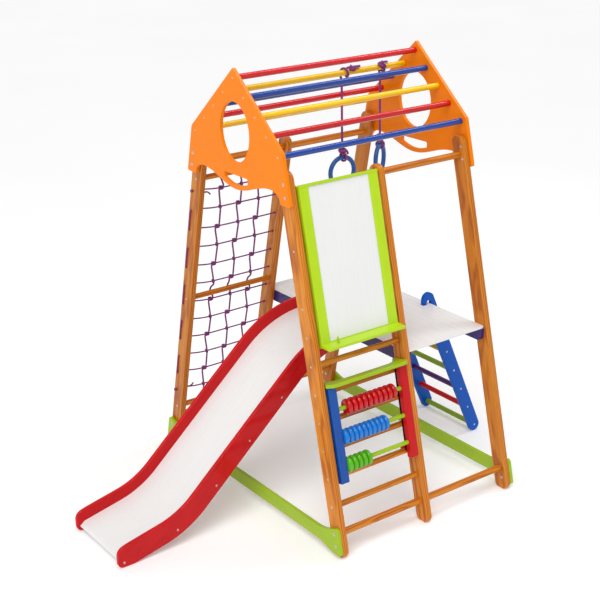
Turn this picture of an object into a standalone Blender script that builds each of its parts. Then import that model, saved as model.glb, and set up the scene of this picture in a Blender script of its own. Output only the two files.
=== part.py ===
"""Kids indoor gym: a wooden A-frame with two gables, overhead bars, a rope net,
a platform, a slide, a small ladder, an easel, an abacus and two hanging rings.

Lengths are in millimetres in the numbers below and are scaled to metres when a
mesh is made. X runs along the overhead bars (the slide leaves towards -X), Y runs
to the rear and Z is up. Each sloping side of the frame is described by x, s
(distance up the slope from the floor line) and dep (depth behind the posts'
middle plane, positive towards the inside of the frame).
"""
import math
import bpy
import bmesh
from mathutils import Matrix, Vector

for old in list(bpy.data.objects):
    bpy.data.objects.remove(old, do_unlink=True)

MM = 0.001
GAP = 0.3                      # clearance between touching pieces

# ---------------------------------------------------------------- frame
TILT = 0.22                    # lean of both sloping sides, radians
FOOT_Y = 575.0                 # half distance between the two foot lines
POST_X = (-406.0, -8.0, 406.0)  # post centres: left, middle, right
POST_T = 26.0                  # post thickness along X
POST_D = 64.0                  # post depth
POST_TOP_OUTER = 1407.0        # slope length of the outer posts
POST_TOP_MID = 1365.0
FOOT_C = 26.5                  # height of the rounded foot's centre

DOWEL_R = 13.0                 # full-width dowels
RUNG_R = 11.0                  # rungs
FRONT_DOWELS = (84.0, 1332.0)
REAR_DOWELS = (133.0, 1320.0)
RUNG_PITCH = 104.0
FRONT_RUNGS = [FRONT_DOWELS[0] + RUNG_PITCH * k for k in range(1, 7)]
REAR_RUNGS = (183.0, 715.0, 1253.0)
TENON = 11.0                   # how far a rung enters a post

# ---------------------------------------------------------------- gables, bars
PLATE = 15.0                   # gable and base bar thickness
APEX_Z = 1695.0
SHOULDER = (292.0, 1437.0)
LEG_TIP = (334.0, 1256.0)
LEG_IN = 276.0
ARCH_Y, ARCH_Z, LOBE_Z = 218.0, 1298.0, 1252.0
OVAL_Z, OVAL_H, OVAL_W = 1464.0, 111.0, 94.0
SMILE_W, SMILE_Z, SMILE_TOP = 75.0, 1268.0, 1305.0
BAR_R = 11.5
BARS = {"bar_apex": (0.0, 1660.0),
        "bar_front_1": (-66.0, 1599.0), "bar_front_2": (-133.0, 1540.0),
        "bar_front_3": (-199.0, 1482.0), "bar_front_4": (-266.0, 1424.0),
        "bar_rear_1": (66.0, 1599.0), "bar_rear_2": (133.0, 1540.0),
        "bar_rear_3": (199.0, 1482.0), "bar_rear_4": (266.0, 1424.0)}
BASE_LO, BASE_HI = 33.0, 86.0

# ---------------------------------------------------------------- platform
BOARD_TOP, BOARD_T = 652.0, 10.0
BOARD_Y = 450.0
SIDE_T, SIDE_H = 18.0, 50.0    # platform side rails
SIDE_Y = 452.0

# ---------------------------------------------------------------- slide
SLIDE_Y0 = 5.0                 # middle of the slide
SLIDE_W = 335.0                # over both rails
RAIL_T = 15.0
RAIL_UP, RAIL_DN = 45.0, 44.0  # rail above and below the bed
BED_T = 6.0
LIP_X = -20.0                  # where the crest starts to curve
CREST_R = 420.0
SLOPE = math.radians(41.5)
RUN_X = -745.0                 # where the run-out curve starts
RUNOUT_R = 350.0
RUNOUT = math.radians(12.0)
SLIDE_END = -1092.0
BATTEN_X = (-378.0, -529.0, -682.0, -850.0)

# ---------------------------------------------------------------- small ladder
LADDER_Y = (-145.0, 175.0)     # outer faces of its rails
LADDER_T = 18.0
LADDER_W = 55.0
LADDER_TOP = (388.0, 640.0)    # a point on the rail's centre line
LADDER_FOOT = (659.0, 27.5)    # last rung and foot centre
LADDER_N = 5
LADDER_PITCH = 105.8
ARCH_TOP = 700.0

# ---------------------------------------------------------------- easel, abacus
EASEL_X = (-384.0, -35.0)
EASEL_S = (770.0, 1351.0)
EASEL_DEP = (-38.0, -14.0)     # front and back of its strips
STRIP_W = (39.0, 42.0)
TOP_RAIL = 11.0                # height of the easel's top rail
TRAY_S = 784.0                 # where the tray's top meets the strips
TRAY_OUT, TRAY_T = 46.0, 12.0  # the tray is level: how far it stands out, and its thickness
HOOK_W = 10.0
ABA_X = (-388.0, -26.0)
ABA_S = (270.0, 626.0)
ABA_DEP = (-42.0, -16.0)
ABA_W = 35.0
ABA_ROD_R = 8.0
ABA_ROWS = (538.0, 434.0, 331.0)
BEAD_R = 29.0

# ---------------------------------------------------------------- rings, net
RING_X = (107.0, 297.0)
RING_TURN = (0.0, math.radians(34.0))
RING_TOP = (1277.0, 1297.0)    # top of each ring
RING_R, RING_TUBE = 58.0, 9.0  # centre-line radius and tube radius
ROPE_R = 4.5
NET_ROW0, NET_PITCH, NET_ROWS = 260.0, 85.0, 12
NET_X = (-301.0, -209.5, -118.0)
NET_W = 6.4
NET_T = 7.4                     # its upright runs
LACE_DEP = -16.0               # the holes of the left post are near its outer edge

X_SHIFT = -0.5 * (SLIDE_END + LADDER_FOOT[0] + LADDER_W / 2)


# ================================================================ helpers
def material(name, rgb, rough, metal=0.0):
    m = bpy.data.materials.new(name)
    m.use_nodes = True
    b = m.node_tree.nodes["Principled BSDF"]
    b.inputs["Base Color"].default_value = (*rgb, 1.0)
    b.inputs["Roughness"].default_value = rough
    b.inputs["Metallic"].default_value = metal
    m.diffuse_color = (*rgb, 1.0)
    return m


WOOD = (0.58, 0.22, 0.045)
COLOURS = {"wood": (WOOD, 0.35), "orange": ((0.95, 0.28, 0.01), 0.35),
           "lime": ((0.40, 0.68, 0.02), 0.3), "red": ((0.72, 0.02, 0.03), 0.25),
           "yellow": ((0.90, 0.60, 0.01), 0.25), "blue": ((0.01, 0.10, 0.50), 0.25),
           "green": ((0.15, 0.45, 0.02), 0.3), "sky": ((0.01, 0.26, 0.75), 0.25),
           "white": ((0.86, 0.86, 0.85), 0.3), "purple": ((0.05, 0.02, 0.15), 0.35),
           "rope": ((0.20, 0.03, 0.17), 0.8), "ring": ((0.02, 0.10, 0.32), 0.35),
           "ochre": ((0.50, 0.36, 0.02), 0.35), "violet": ((0.10, 0.01, 0.10), 0.35)}


def link(name, mesh, colour):
    rgb, rough = COLOURS[colour]
    mesh.materials.clear()
    mesh.materials.append(material(name, rgb, rough))
    ob = bpy.data.objects.new(name, mesh)
    bpy.context.scene.collection.objects.link(ob)
    return ob


def finish_mesh(bm, name, recentre=True):
    """Scale to metres, move the mesh's middle to its object's origin."""
    bmesh.ops.recalc_face_normals(bm, faces=bm.faces)
    if bm.calc_volume(signed=True) < 0:
        bmesh.ops.reverse_faces(bm, faces=bm.faces)
    bmesh.ops.translate(bm, verts=bm.verts, vec=(X_SHIFT, 0, 0))
    bmesh.ops.scale(bm, verts=bm.verts, vec=(MM, MM, MM))
    me = bpy.data.meshes.new(name)
    bm.to_mesh(me)
    bm.free()
    return me


def set_origin(ob, point_mm):
    """Put the object's origin at a point, without moving its shape."""
    p = Vector(((point_mm[0] + X_SHIFT) * MM, point_mm[1] * MM, point_mm[2] * MM))
    ob.data.transform(Matrix.Translation(-p))
    ob.location = p


def smooth(ob, angle=40):
    ob.data.shade_smooth()
    ob.data.set_sharp_from_angle(angle=math.radians(angle))


def prism(outline, lo, hi, to3, bevel=0.0, seg=2, holes=()):
    """Extrude a closed outline (with holes) from lo to hi along the third axis."""
    bm = bmesh.new()
    loops = [outline] + list(holes)
    edges = []
    for loop in loops:
        vs = [bm.verts.new(Vector(to3(a, b, lo))) for a, b in loop]
        for i in range(len(vs)):
            edges.append(bm.edges.new((vs[i], vs[(i + 1) % len(vs)])))
    if holes:
        bmesh.ops.triangle_fill(bm, use_beauty=True, use_dissolve=False, edges=edges)
    else:
        bm.faces.new(bm.verts)
    step = Vector(to3(0, 0, hi)) - Vector(to3(0, 0, lo))
    base = list(bm.faces)
    ext = bmesh.ops.extrude_face_region(bm, geom=base)
    moved = [v for v in ext["geom"] if isinstance(v, bmesh.types.BMVert)]
    bmesh.ops.translate(bm, verts=moved, vec=step)
    bmesh.ops.recalc_face_normals(bm, faces=bm.faces)
    if bevel:
        n = step.normalized()
        rim = [e for e in bm.edges if len(e.link_faces) == 2
               and abs((e.verts[0].co - e.verts[1].co).normalized().dot(n)) < 0.01
               and e.calc_face_angle(0) > 0.5]
        bmesh.ops.bevel(bm, geom=rim, offset=bevel, offset_type="OFFSET", segments=seg,
                        profile=0.5, affect="EDGES", clamp_overlap=True)
    return bm


def yz(a, b, c):
    return (c, a, b)


def xz(a, b, c):
    return (a, c, b)


def xy(a, b, c):
    return (a, b, c)


def front(x, s, dep=0.0):
    return Vector((x, -FOOT_Y + s * math.sin(TILT) + dep * math.cos(TILT),
                   s * math.cos(TILT) - dep * math.sin(TILT)))


def rear(x, s, dep=0.0):
    p = front(x, s, dep)
    return Vector((p.x, -p.y, p.z))


def rod(name, a, b, r, colour, n=16, chamfer=0.0):
    """A round rod from a to b (mm) with slightly broken ends."""
    a, b = Vector(a), Vector(b)
    d = (b - a).normalized()
    q = d.to_track_quat("Z", "Y").to_matrix()
    bm = bmesh.new()
    length = (b - a).length
    rings = [(0.0, r - chamfer), (chamfer, r), (length - chamfer, r), (length, r - chamfer)] \
        if chamfer else [(0.0, r), (length, r)]
    loops = []
    for z, rr in rings:
        loops.append([bm.verts.new(a + q @ Vector((rr * math.cos(2 * math.pi * i / n),
                                                   rr * math.sin(2 * math.pi * i / n), z)))
                      for i in range(n)])
    for lo, hi in zip(loops, loops[1:]):
        for i in range(n):
            bm.faces.new((lo[i], lo[(i + 1) % n], hi[(i + 1) % n], hi[i]))
    bm.faces.new(loops[0])
    bm.faces.new(loops[-1])
    ob = link(name, finish_mesh(bm, name), colour)
    mid = (a + b) / 2
    set_origin(ob, mid)
    smooth(ob, 50)
    return ob


def cutter(bm, name):
    me = finish_mesh(bm, name)
    ob = bpy.data.objects.new(name, me)
    bpy.context.scene.collection.objects.link(ob)
    ob.hide_render = True
    ob.display_type = "WIRE"
    return ob


def cylinder_into(bm, a, b, r, n=12, turn=0.0):
    """A cylinder whose flats lie r from its axis."""
    r = r / math.cos(math.pi / n)
    a, b = Vector(a), Vector(b)
    d = (b - a).normalized()
    q = d.to_track_quat("Z", "Y").to_matrix()
    length = (b - a).length
    lo = [bm.verts.new(a + q @ Vector((r * math.cos(turn + 2 * math.pi * i / n),
                                       r * math.sin(turn + 2 * math.pi * i / n), 0))) for i in range(n)]
    hi = [bm.verts.new(a + q @ Vector((r * math.cos(turn + 2 * math.pi * i / n),
                                       r * math.sin(turn + 2 * math.pi * i / n), length))) for i in range(n)]
    for i in range(n):
        bm.faces.new((lo[i], lo[(i + 1) % n], hi[(i + 1) % n], hi[i]))
    bm.faces.new(lo[::-1])
    bm.faces.new(hi)


def box_into(bm, corners):
    """corners: eight points, the four of one end and then the four of the other."""
    v = [bm.verts.new(Vector(c)) for c in corners]
    for f in ((3, 2, 1, 0), (4, 5, 6, 7), (0, 1, 5, 4), (1, 2, 6, 5), (2, 3, 7, 6), (3, 0, 4, 7)):
        bm.faces.new([v[i] for i in f])


def boolean(ob, other, op="DIFFERENCE", self_=False):
    m = ob.modifiers.new(op.title(), "BOOLEAN")
    m.operation = op
    m.solver = "EXACT"
    m.object = other
    m.use_self = self_
    return m


def arc(cx, cz, r, a0, a1, n):
    """Points on a circle, angles in degrees."""
    return [(cx + r * math.cos(math.radians(a0 + (a1 - a0) * i / n)),
             cz + r * math.sin(math.radians(a0 + (a1 - a0) * i / n))) for i in range(n + 1)]


# ================================================================ posts
def post_outline(top):
    """Side outline of a post, in y and z: round top, round foot cut flat at the floor."""
    r = POST_D / 2
    ux, uz = math.sin(TILT), math.cos(TILT)
    s_foot = FOOT_C / math.cos(TILT)
    pts = []
    s_top = top - r
    for i in range(11):                       # round top, front edge to rear edge
        a = math.pi * i / 10
        dep, s = -r * math.cos(a), s_top + r * math.sin(a)
        pts.append((dep, s))
    cy, cz = s_foot, 0.0
    arcpts = []
    for i in range(17):                       # round foot
        a = math.pi * i / 16
        dep, s = r * math.cos(a), s_foot - r * math.sin(a)
        z = s * uz - dep * ux
        arcpts.append((dep, s, z))
    kept = []
    for p, q in zip(arcpts, arcpts[1:]):
        if p[2] >= 0 and (not kept or kept[-1] != p[:2]):
            kept.append(p[:2])
        if (p[2] > 0) != (q[2] > 0):
            t = p[2] / (p[2] - q[2])
            kept.append((p[0] + t * (q[0] - p[0]), p[1] + t * (q[1] - p[1])))
    kept.append(arcpts[-1][:2])
    pts += [k for i, k in enumerate(kept) if i == 0 or math.dist(k, kept[i - 1]) > 1.0]
    out = []
    for dep, s in pts:
        p = front(0, s, dep)
        out.append((p.y, p.z))
    clean = []
    for p in out:
        if not clean or math.dist(p, clean[-1]) > 0.5:
            clean.append(p)
    if math.dist(clean[0], clean[-1]) < 0.5:
        clean.pop()
    return clean


def make_post(name, side, col):
    x = POST_X[col]
    top = POST_TOP_MID if col == 1 else POST_TOP_OUTER
    outline = post_outline(top)
    if side == "rear":
        outline = [(-y, z) for y, z in outline]
    bm = prism(outline, x - POST_T / 2, x + POST_T / 2, yz)
    ob = link(name, finish_mesh(bm, name), "wood")
    place = front if side == "front" else rear
    set_origin(ob, place(x, 0))
    # holes
    cut = bmesh.new()
    dowels = FRONT_DOWELS if side == "front" else REAR_DOWELS
    for s in dowels:
        if col == 1:
            a, b = x - POST_T, x + POST_T
        elif col == 0:
            a, b = x + POST_T / 2 - TENON - 0.5, x + POST_T
        else:
            a, b = x - POST_T, x - POST_T / 2 + TENON + 0.5
        cylinder_into(cut, place(a, s), place(b, s), DOWEL_R + 0.3)
    rungs = FRONT_RUNGS if side == "front" else REAR_RUNGS
    if col < 2:
        for s in rungs:
            a, b = (x + POST_T / 2 - TENON - 0.5, x + POST_T) if col == 0 else \
                   (x - POST_T, x - POST_T / 2 + TENON + 0.5)
            cylinder_into(cut, place(a, s), place(b, s), RUNG_R + 0.3)
    if side == "rear" and col < 2:
        for i in range(NET_ROWS):
            s = NET_ROW0 + NET_PITCH * i
            dep = LACE_DEP if col == 0 else 0.0
            cylinder_into(cut, place(x - POST_T, s, dep), place(x + POST_T, s, dep), NET_W * 0.7072 + 0.4, 6)
    c = cutter(cut, name + "_holes")
    boolean(ob, c)
    smooth(ob, 35)
    return ob


for side in ("front", "rear"):
    for col, word in enumerate(("left", "middle", "right")):
        make_post("post_%s_%s" % (side, word), side, col)

x_in = POST_X[0] + POST_T / 2 - TENON
x_out = POST_X[2] - POST_T / 2 + TENON
for side, place, row in (("front", front, FRONT_DOWELS), ("rear", rear, REAR_DOWELS)):
    for s, word in zip(row, ("bottom", "top")):
        rod("dowel_%s_%s" % (side, word), place(x_in, s), place(x_out, s), DOWEL_R, "wood")
x_mid = POST_X[1] - POST_T / 2 + TENON
for k, s in enumerate(FRONT_RUNGS):
    rod("rung_front_%d" % (k + 1), front(x_in, s), front(x_mid, s), RUNG_R, "wood")
for s, word in zip(REAR_RUNGS, ("bottom", "middle", "top")):
    rod("net_rung_" + word, rear(x_in, s), rear(x_mid, s), RUNG_R, "wood")


# ================================================================ gables and bars
def gable_outline():
    """Half outline by height, mirrored: rounded apex, shoulders, leg and arches."""
    half = []
    sy, sz = SHOULDER
    run, rise = sy, APEX_Z - sz
    ang = math.degrees(math.atan2(run, rise))            # roof line from the vertical
    r = 2.5
    c_z = APEX_Z - r
    half += [(r * math.sin(math.radians(a)), c_z + r * math.cos(math.radians(a)))
             for a in (0, 90 - ang)]
    # shoulder, rounded between the roof line and the leg's outer edge
    ty, tz = LEG_TIP
    d1 = Vector((run, -rise)).normalized()
    d2 = Vector((ty - sy, tz - sz)).normalized()
    p = Vector((sy, sz)) + Vector((0, 2))
    rr = 4.0
    for t in (0.0, 0.5, 1.0):
        a = p - d1 * rr
        b = p + d2 * rr
        q = (1 - t) ** 2 * a + 2 * t * (1 - t) * p + t * t * b
        half.append((q.x, q.y))
    # tip of the leg
    for t in (0.0, 0.33, 0.67, 1.0):
        c = Vector((ty, tz))
        a = c - d2 * 12
        b = c - Vector((12, 0))
        q = (1 - t) ** 2 * a + 2 * t * (1 - t) * c + t * t * b
        half.append((q.x, q.y))
    n = 8
    for i in range(n + 1):
        a = math.pi / 2 * i / n
        half.append((LEG_IN - (LEG_IN - ARCH_Y) * (1 - math.cos(a)), tz + (ARCH_Z - tz) * math.sin(a)))
    n = 9
    for i in range(1, n):
        y = ARCH_Y * (1 - i / n)
        half.append((y, (LOBE_Z + ARCH_Z) / 2 - (ARCH_Z - LOBE_Z) / 2 * math.cos(math.pi * y / ARCH_Y)))
    half.append((0.0, LOBE_Z))
    left = [(-y, z) for y, z in half[1:-1]][::-1]
    return half + left


def smile_outline():
    """A bowl shape: curved below, straight on top, with upright ends."""
    n = 8
    w, c = SMILE_W, 6.0
    pts = [((w - c) * (2 * i / n - 1), SMILE_Z + 14 * (2 * i / n - 1) ** 2) for i in range(n + 1)]
    lz = pts[-1][1]
    pts += [(w, lz + c), (w, SMILE_TOP - c), (w - c, SMILE_TOP), (-w + c, SMILE_TOP), (-w, SMILE_TOP - c), (-w, lz + c)]
    return pts


oval = [(OVAL_W * math.cos(2 * math.pi * i / 28), OVAL_Z + OVAL_H * math.sin(2 * math.pi * i / 28))
        for i in range(28)]
for word, sign in (("left", -1), ("right", 1)):
    x0 = sign * (POST_X[2] + POST_T / 2 + GAP)
    x1 = x0 + sign * PLATE
    bm = prism(gable_outline(), min(x0, x1), max(x0, x1), yz, holes=(oval, smile_outline()))
    ob = link("gable_" + word, finish_mesh(bm, "gable_" + word), "orange")
    set_origin(ob, (x0, 0, OVAL_Z))
    smooth(ob, 35)

bar_x = POST_X[2] + POST_T / 2
BAR_COLOUR = {"bar_apex": "red", "bar_front_1": "blue", "bar_front_2": "yellow", "bar_front_3": "red",
              "bar_front_4": "blue", "bar_rear_1": "yellow", "bar_rear_2": "blue", "bar_rear_3": "red",
              "bar_rear_4": "yellow"}
for name, (y, z) in BARS.items():
    rod(name, (-bar_x, y, z), (bar_x, y, z), BAR_R, BAR_COLOUR[name])


def base_outline():
    """Straight bar that flares into a plate at each post's foot."""
    def edge_y(z):
        return FOOT_Y - z * math.tan(TILT) + POST_D / 2 / math.cos(TILT)
    half = [(0.0, BASE_HI), (470.0, BASE_HI), (495.0, BASE_HI + 3), (530.0, BASE_HI + 14),
            (560.0, BASE_HI + 26), (edge_y(118) - 10, 118.0), (edge_y(108), 110.0), (edge_y(60), 60.0),
            (edge_y(30), 30.0), (edge_y(20) - 3, 20.0), (edge_y(15) - 12, 15.0), (560.0, 15.0),
            (530.0, 19.0), (500.0, 28.0), (475.0, BASE_LO), (0.0, BASE_LO)]
    left = [(-y, z) for y, z in half[1:-1]][::-1]
    return half + left


for word, sign in (("left", -1), ("right", 1)):
    x0 = sign * (POST_X[2] + POST_T / 2 + GAP)
    x1 = x0 + sign * PLATE
    name = "base_bar_" + word
    ob = link(name, finish_mesh(prism(base_outline(), min(x0, x1), max(x0, x1), yz), name), "lime")
    set_origin(ob, (x0, 0, (BASE_LO + BASE_HI) / 2))
    smooth(ob, 35)

# ================================================================ platform
px0 = POST_X[1] + POST_T / 2 + GAP
px1 = POST_X[2] - POST_T / 2 - GAP
rail_z0 = BOARD_TOP - BOARD_T - GAP - SIDE_H


def side_rail_outline():
    """End view from the side: flat top, lower corners well rounded."""
    z0, z1 = rail_z0, rail_z0 + SIDE_H
    pts = [(-SIDE_Y, z1)]
    pts += arc(-SIDE_Y + 22, z0 + 22, 22, 180, 270, 5)
    pts += arc(SIDE_Y - 22, z0 + 22, 22, 270, 360, 5)
    pts.append((SIDE_Y, z1))
    return pts


for word, a, b in (("left", px0, px0 + SIDE_T), ("right", px1 - SIDE_T, px1)):
    name = "platform_rail_" + word
    ob = link(name, finish_mesh(prism(side_rail_outline(), a, b, yz), name), "purple")
    set_origin(ob, (a, 0, rail_z0))
    smooth(ob, 35)

leg_t = 20.0
slide_throat = (px0 - 2.7, px0 + SIDE_T + 2.9)       # clear space over the left side rail
slide_leg = (slide_throat[1], slide_throat[1] + leg_t)
ladder_throat = (px1 - SIDE_T - 2.4, px1 + 3.0)
ladder_leg = (ladder_throat[0] - 18.0, ladder_throat[0])
slide_ys = (SLIDE_Y0 - SLIDE_W / 2, SLIDE_Y0 + SLIDE_W / 2)
slots = []
for ya, yb in ((slide_ys[0], slide_ys[0] + RAIL_T), (slide_ys[1] - RAIL_T, slide_ys[1])):
    slots.append((slide_leg[0] - 1.2, slide_leg[1] + 1.5, ya - 1.5, yb + 1.5))
for ya, yb in ((LADDER_Y[0], LADDER_Y[0] + LADDER_T), (LADDER_Y[1] - LADDER_T, LADDER_Y[1])):
    slots.append((ladder_leg[0] - 1.5, ladder_leg[1] + 1.0, ya - 1.5, yb + 1.5))


def rounded_rect(x0, x1, y0, y1, r, n=3):
    return (arc(x1 - r, y1 - r, r, 0, 90, n) + arc(x0 + r, y1 - r, r, 90, 180, n)
            + arc(x0 + r, y0 + r, r, 180, 270, n) + arc(x1 - r, y0 + r, r, 270, 360, n))


bm = prism(rounded_rect(px0, px1, -BOARD_Y, BOARD_Y, 4), BOARD_TOP - BOARD_T, BOARD_TOP, xy,
           holes=[[(a, c), (b, c), (b, d), (a, d)] for a, b, c, d in slots])
ob = link("platform_board", finish_mesh(bm, "platform_board"), "white")
set_origin(ob, ((px0 + px1) / 2, 0, BOARD_TOP))
smooth(ob, 35)


# ================================================================ slide
def bed_point(x):
    """Height and slope angle of the bed's top surface at x."""
    if x >= LIP_X:
        return BOARD_TOP, 0.0
    x1 = LIP_X - CREST_R * math.sin(SLOPE)
    z1 = BOARD_TOP - CREST_R * (1 - math.cos(SLOPE))
    if x >= x1:
        a = math.asin((LIP_X - x) / CREST_R)
        return BOARD_TOP - CREST_R * (1 - math.cos(a)), a
    z2 = z1 - (x1 - RUN_X) * math.tan(SLOPE)
    if x >= RUN_X:
        return z1 - (x1 - x) * math.tan(SLOPE), SLOPE
    x3 = RUN_X - RUNOUT_R * (math.sin(SLOPE) - math.sin(RUNOUT))
    if x >= x3:
        a = math.asin(math.sin(SLOPE) - (RUN_X - x) / RUNOUT_R)
        return z2 - RUNOUT_R * (math.cos(a) - math.cos(SLOPE)), a
    z3 = z2 - RUNOUT_R * (math.cos(RUNOUT) - math.cos(SLOPE))
    return z3 - (x3 - x) * math.tan(RUNOUT), RUNOUT


def bed_stations(x_from, x_to, n_crest=8, n_run=6):
    xs = [x_from]
    x1 = LIP_X - CREST_R * math.sin(SLOPE)
    x3 = RUN_X - RUNOUT_R * (math.sin(SLOPE) - math.sin(RUNOUT))
    xs += [LIP_X + (x1 - LIP_X) * i / n_crest for i in range(n_crest + 1)]
    xs += [(x1 + RUN_X) / 2]
    xs += [RUN_X + (x3 - RUN_X) * i / n_run for i in range(n_run + 1)]
    xs += [x_to]
    return xs


def offset(x, d):
    """Point at distance d above (or below) the bed, square to it."""
    z, a = bed_point(x)
    return (x - d * math.sin(a), z + d * math.cos(a))


def slide_rail_outline():
    end = SLIDE_END
    top = [offset(x, RAIL_UP) for x in bed_stations(LIP_X + 12, -1040)]
    hook_top = BOARD_TOP + RAIL_UP
    pts = []
    # hook over the platform's side rail, then the leg that drops through the board
    pts += arc(slide_leg[1] - 16, hook_top - 16, 16, 0, 90, 4)
    pts += top
    zt = top[-1][1]
    pts += arc(end + 34, zt - 38, 34, 100, 180, 5)
    pts += arc(end + 24, 24, 24, 180, 270, 4)
    low = []
    for x in bed_stations(LIP_X + 4, -1040, 6, 5)[::-1]:
        px, pz = offset(x, -RAIL_DN)
        if pz > 0.0:
            low.append((px, pz))
    # the flat foot on the floor starts where the lower edge meets it
    xf = -1040.0
    while offset(xf, -RAIL_DN)[1] < 0.0:
        xf += 1.0
    pts.append((offset(xf, -RAIL_DN)[0], 0.0))
    pts += [p for p in low if p[0] > pts[-1][0] + 6]
    pts.append((slide_throat[0], pts[-1][1]))
    pts.append((slide_throat[0], BOARD_TOP + GAP))
    pts.append((slide_throat[1], BOARD_TOP + GAP))
    pts.append((slide_leg[0], rail_z0 + 14))
    pts += arc(slide_leg[0] + 8, rail_z0 + 12, 8, 180, 270, 2)
    pts += arc(slide_leg[1] - 8, rail_z0 + 12, 8, 270, 360, 2)
    clean = []
    for p in pts:
        if not clean or math.dist(p, clean[-1]) > 0.6:
            clean.append(p)
    return clean


outline = slide_rail_outline()
bm = prism(outline, slide_ys[0], slide_ys[0] + RAIL_T, xz)
ob = link("slide_frame", finish_mesh(bm, "slide_frame"), "red")
far = cutter(prism(outline, slide_ys[1] - RAIL_T, slide_ys[1], xz), "slide_far_rail")
boolean(ob, far, "UNION")
battens = bmesh.new()
for x in BATTEN_X:
    z, a = bed_point(x)
    u = Vector((-math.cos(a), 0, -math.sin(a)))
    w = Vector((-math.sin(a), 0, math.cos(a)))
    c = Vector((x, 0, z)) - w * (BED_T + GAP)
    cs = []
    for y in (slide_ys[0] + RAIL_T - 3, slide_ys[1] - RAIL_T + 3):
        for du, dw in ((-20, 0), (20, 0), (20, -16), (-20, -16)):
            cs.append(c + u * du + w * dw + Vector((0, y, 0)))
    box_into(battens, cs)
boolean(ob, cutter(battens, "slide_battens"), "UNION")
set_origin(ob, (slide_throat[0], SLIDE_Y0, BOARD_TOP))
smooth(ob, 35)

bed_top = [(x, bed_point(x)[0]) for x in bed_stations(px0 - 0.6, -1060, 10, 8)]
bed_top.append((SLIDE_END + 12, bed_top[-1][1] - 16))
bed_low = [offset(x, -BED_T) for x in bed_stations(px0 - 0.6, -1060, 10, 8)]
bed_low.append((SLIDE_END + 16, bed_top[-1][1] - 4))
bm = prism(bed_top + bed_low[::-1], slide_ys[0] + RAIL_T + GAP, slide_ys[1] - RAIL_T - GAP, xz)
ob = link("slide_bed", finish_mesh(bm, "slide_bed"), "white")
set_origin(ob, (slide_throat[0], SLIDE_Y0, BOARD_TOP))
smooth(ob, 35)

# ================================================================ small ladder
dx, dz = LADDER_FOOT[0] - LADDER_TOP[0], LADDER_FOOT[1] - LADDER_TOP[1]
lean = math.atan2(dx, -dz)
along = Vector((math.sin(lean), -math.cos(lean)))
outw = Vector((math.cos(lean), math.sin(lean)))
rung_pts = [Vector(LADDER_FOOT) - along * LADDER_PITCH * (LADDER_N - 1 - i) for i in range(LADDER_N)]


def ladder_outline():
    r = LADDER_W / 2
    c = Vector(LADDER_FOOT)
    pts = []
    a0 = math.degrees(math.atan2(outw.y, outw.x))
    # outer edge from the arch down to the foot, round foot, inner edge up
    arch_c = Vector((ladder_leg[0] + 29.0, ARCH_TOP - 29.0))
    pts += arc(arch_c.x, arch_c.y, 29.0, 180, a0, 7)
    foot = arc(c.x, c.y, r, a0, a0 - 180, 10)
    pts += [(x, max(z, 0.0)) for x, z in foot]
    inner = Vector(LADDER_TOP) - outw * r
    x = ladder_throat[1]
    t = (x - inner.x) / along.x
    q = inner + along * t
    pts.append((q.x, q.y))
    pts.append((x, BOARD_TOP + 8))
    mx = (ladder_throat[0] + x) / 2
    pts.append((mx + 4, BOARD_TOP + 16))
    pts.append((mx - 4, BOARD_TOP + 16))
    pts.append((ladder_throat[0], BOARD_TOP + 8))
    pts.append((ladder_throat[0], rail_z0 + 22))
    pts.append((ladder_throat[0] - 5, rail_z0 + 16))
    pts.append((ladder_leg[0] + 5, rail_z0 + 16))
    pts.append((ladder_leg[0], rail_z0 + 22))
    return pts


ladder_ys = ((LADDER_Y[0], LADDER_Y[0] + LADDER_T), (LADDER_Y[1] - LADDER_T, LADDER_Y[1]))
for word, (ya, yb), inner_y, sg in (("near", ladder_ys[0], ladder_ys[0][1], 1), ("far", ladder_ys[1], ladder_ys[1][0], -1)):
    name = "ladder_rail_" + word
    ob = link(name, finish_mesh(prism(ladder_outline(), ya, yb, xz), name), "blue")
    set_origin(ob, (ladder_throat[0], (ya + yb) / 2, BOARD_TOP))
    cut = bmesh.new()
    for p in rung_pts:
        cylinder_into(cut, (p.x, inner_y - sg * 8.5, p.y), (p.x, inner_y + sg * 6, p.y), RUNG_R + 0.3)
    boolean(ob, cutter(cut, name + "_holes"))
    smooth(ob, 35)
for i, (p, col) in enumerate(zip(rung_pts, ("ochre", "green", "violet", "red", "green"))):
    rod("ladder_rung_%d" % (i + 1), (p.x, ladder_ys[0][1] - 8, p.y), (p.x, ladder_ys[1][0] + 8, p.y), RUNG_R, col)


# ================================================================ easel
def slope_prism(outline, x0, x1, bevel=0.0, seg=1):
    """Outline in dep and s, extruded along X, on the front slope."""
    return prism(outline, x0, x1, lambda a, b, c: front(c, b, a), bevel=bevel, seg=seg)


def face_prism(outline, dep0, dep1, bevel=0.0, seg=1, holes=()):
    """Outline in x and s, extruded through the depth of the front slope."""
    return prism(outline, dep0, dep1, lambda a, b, c: front(a, b, c), bevel=bevel, seg=seg, holes=holes)


def hook_strip(dep0, dep1, s0, s1, hooks, r):
    """Side outline of an upright strip with hooks that drop over round rungs."""
    pts = [(dep0, s1), (dep0, s0), (dep1, s0)]
    for s in sorted(hooks):
        pts.append((dep1, s + 2))
        pts.append((dep1 + 4, s + 2)) if dep1 + 4 < -r - GAP else None
        m = r + 0.6
        pts.append((-m, s - 1))
        for i in range(9):
            a = math.pi - math.pi * i / 8
            pts.append((m * math.cos(a), s + m * math.sin(a)))
        pts.append((m, s - 12))
        pts.append((m + 9, s - 12))
        pts.append((m + 9, s + m + 3))
        pts.append((m + 3, s + m + 8))
        pts.append((dep1, s + m + 8))
    pts.append((dep1, s1))
    clean = []
    for p in pts:
        if p and (not clean or math.dist(p, clean[-1]) > 0.3):
            clean.append(p)
    return clean


d0, d1 = EASEL_DEP
hook_s = FRONT_DOWELS[1]


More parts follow.
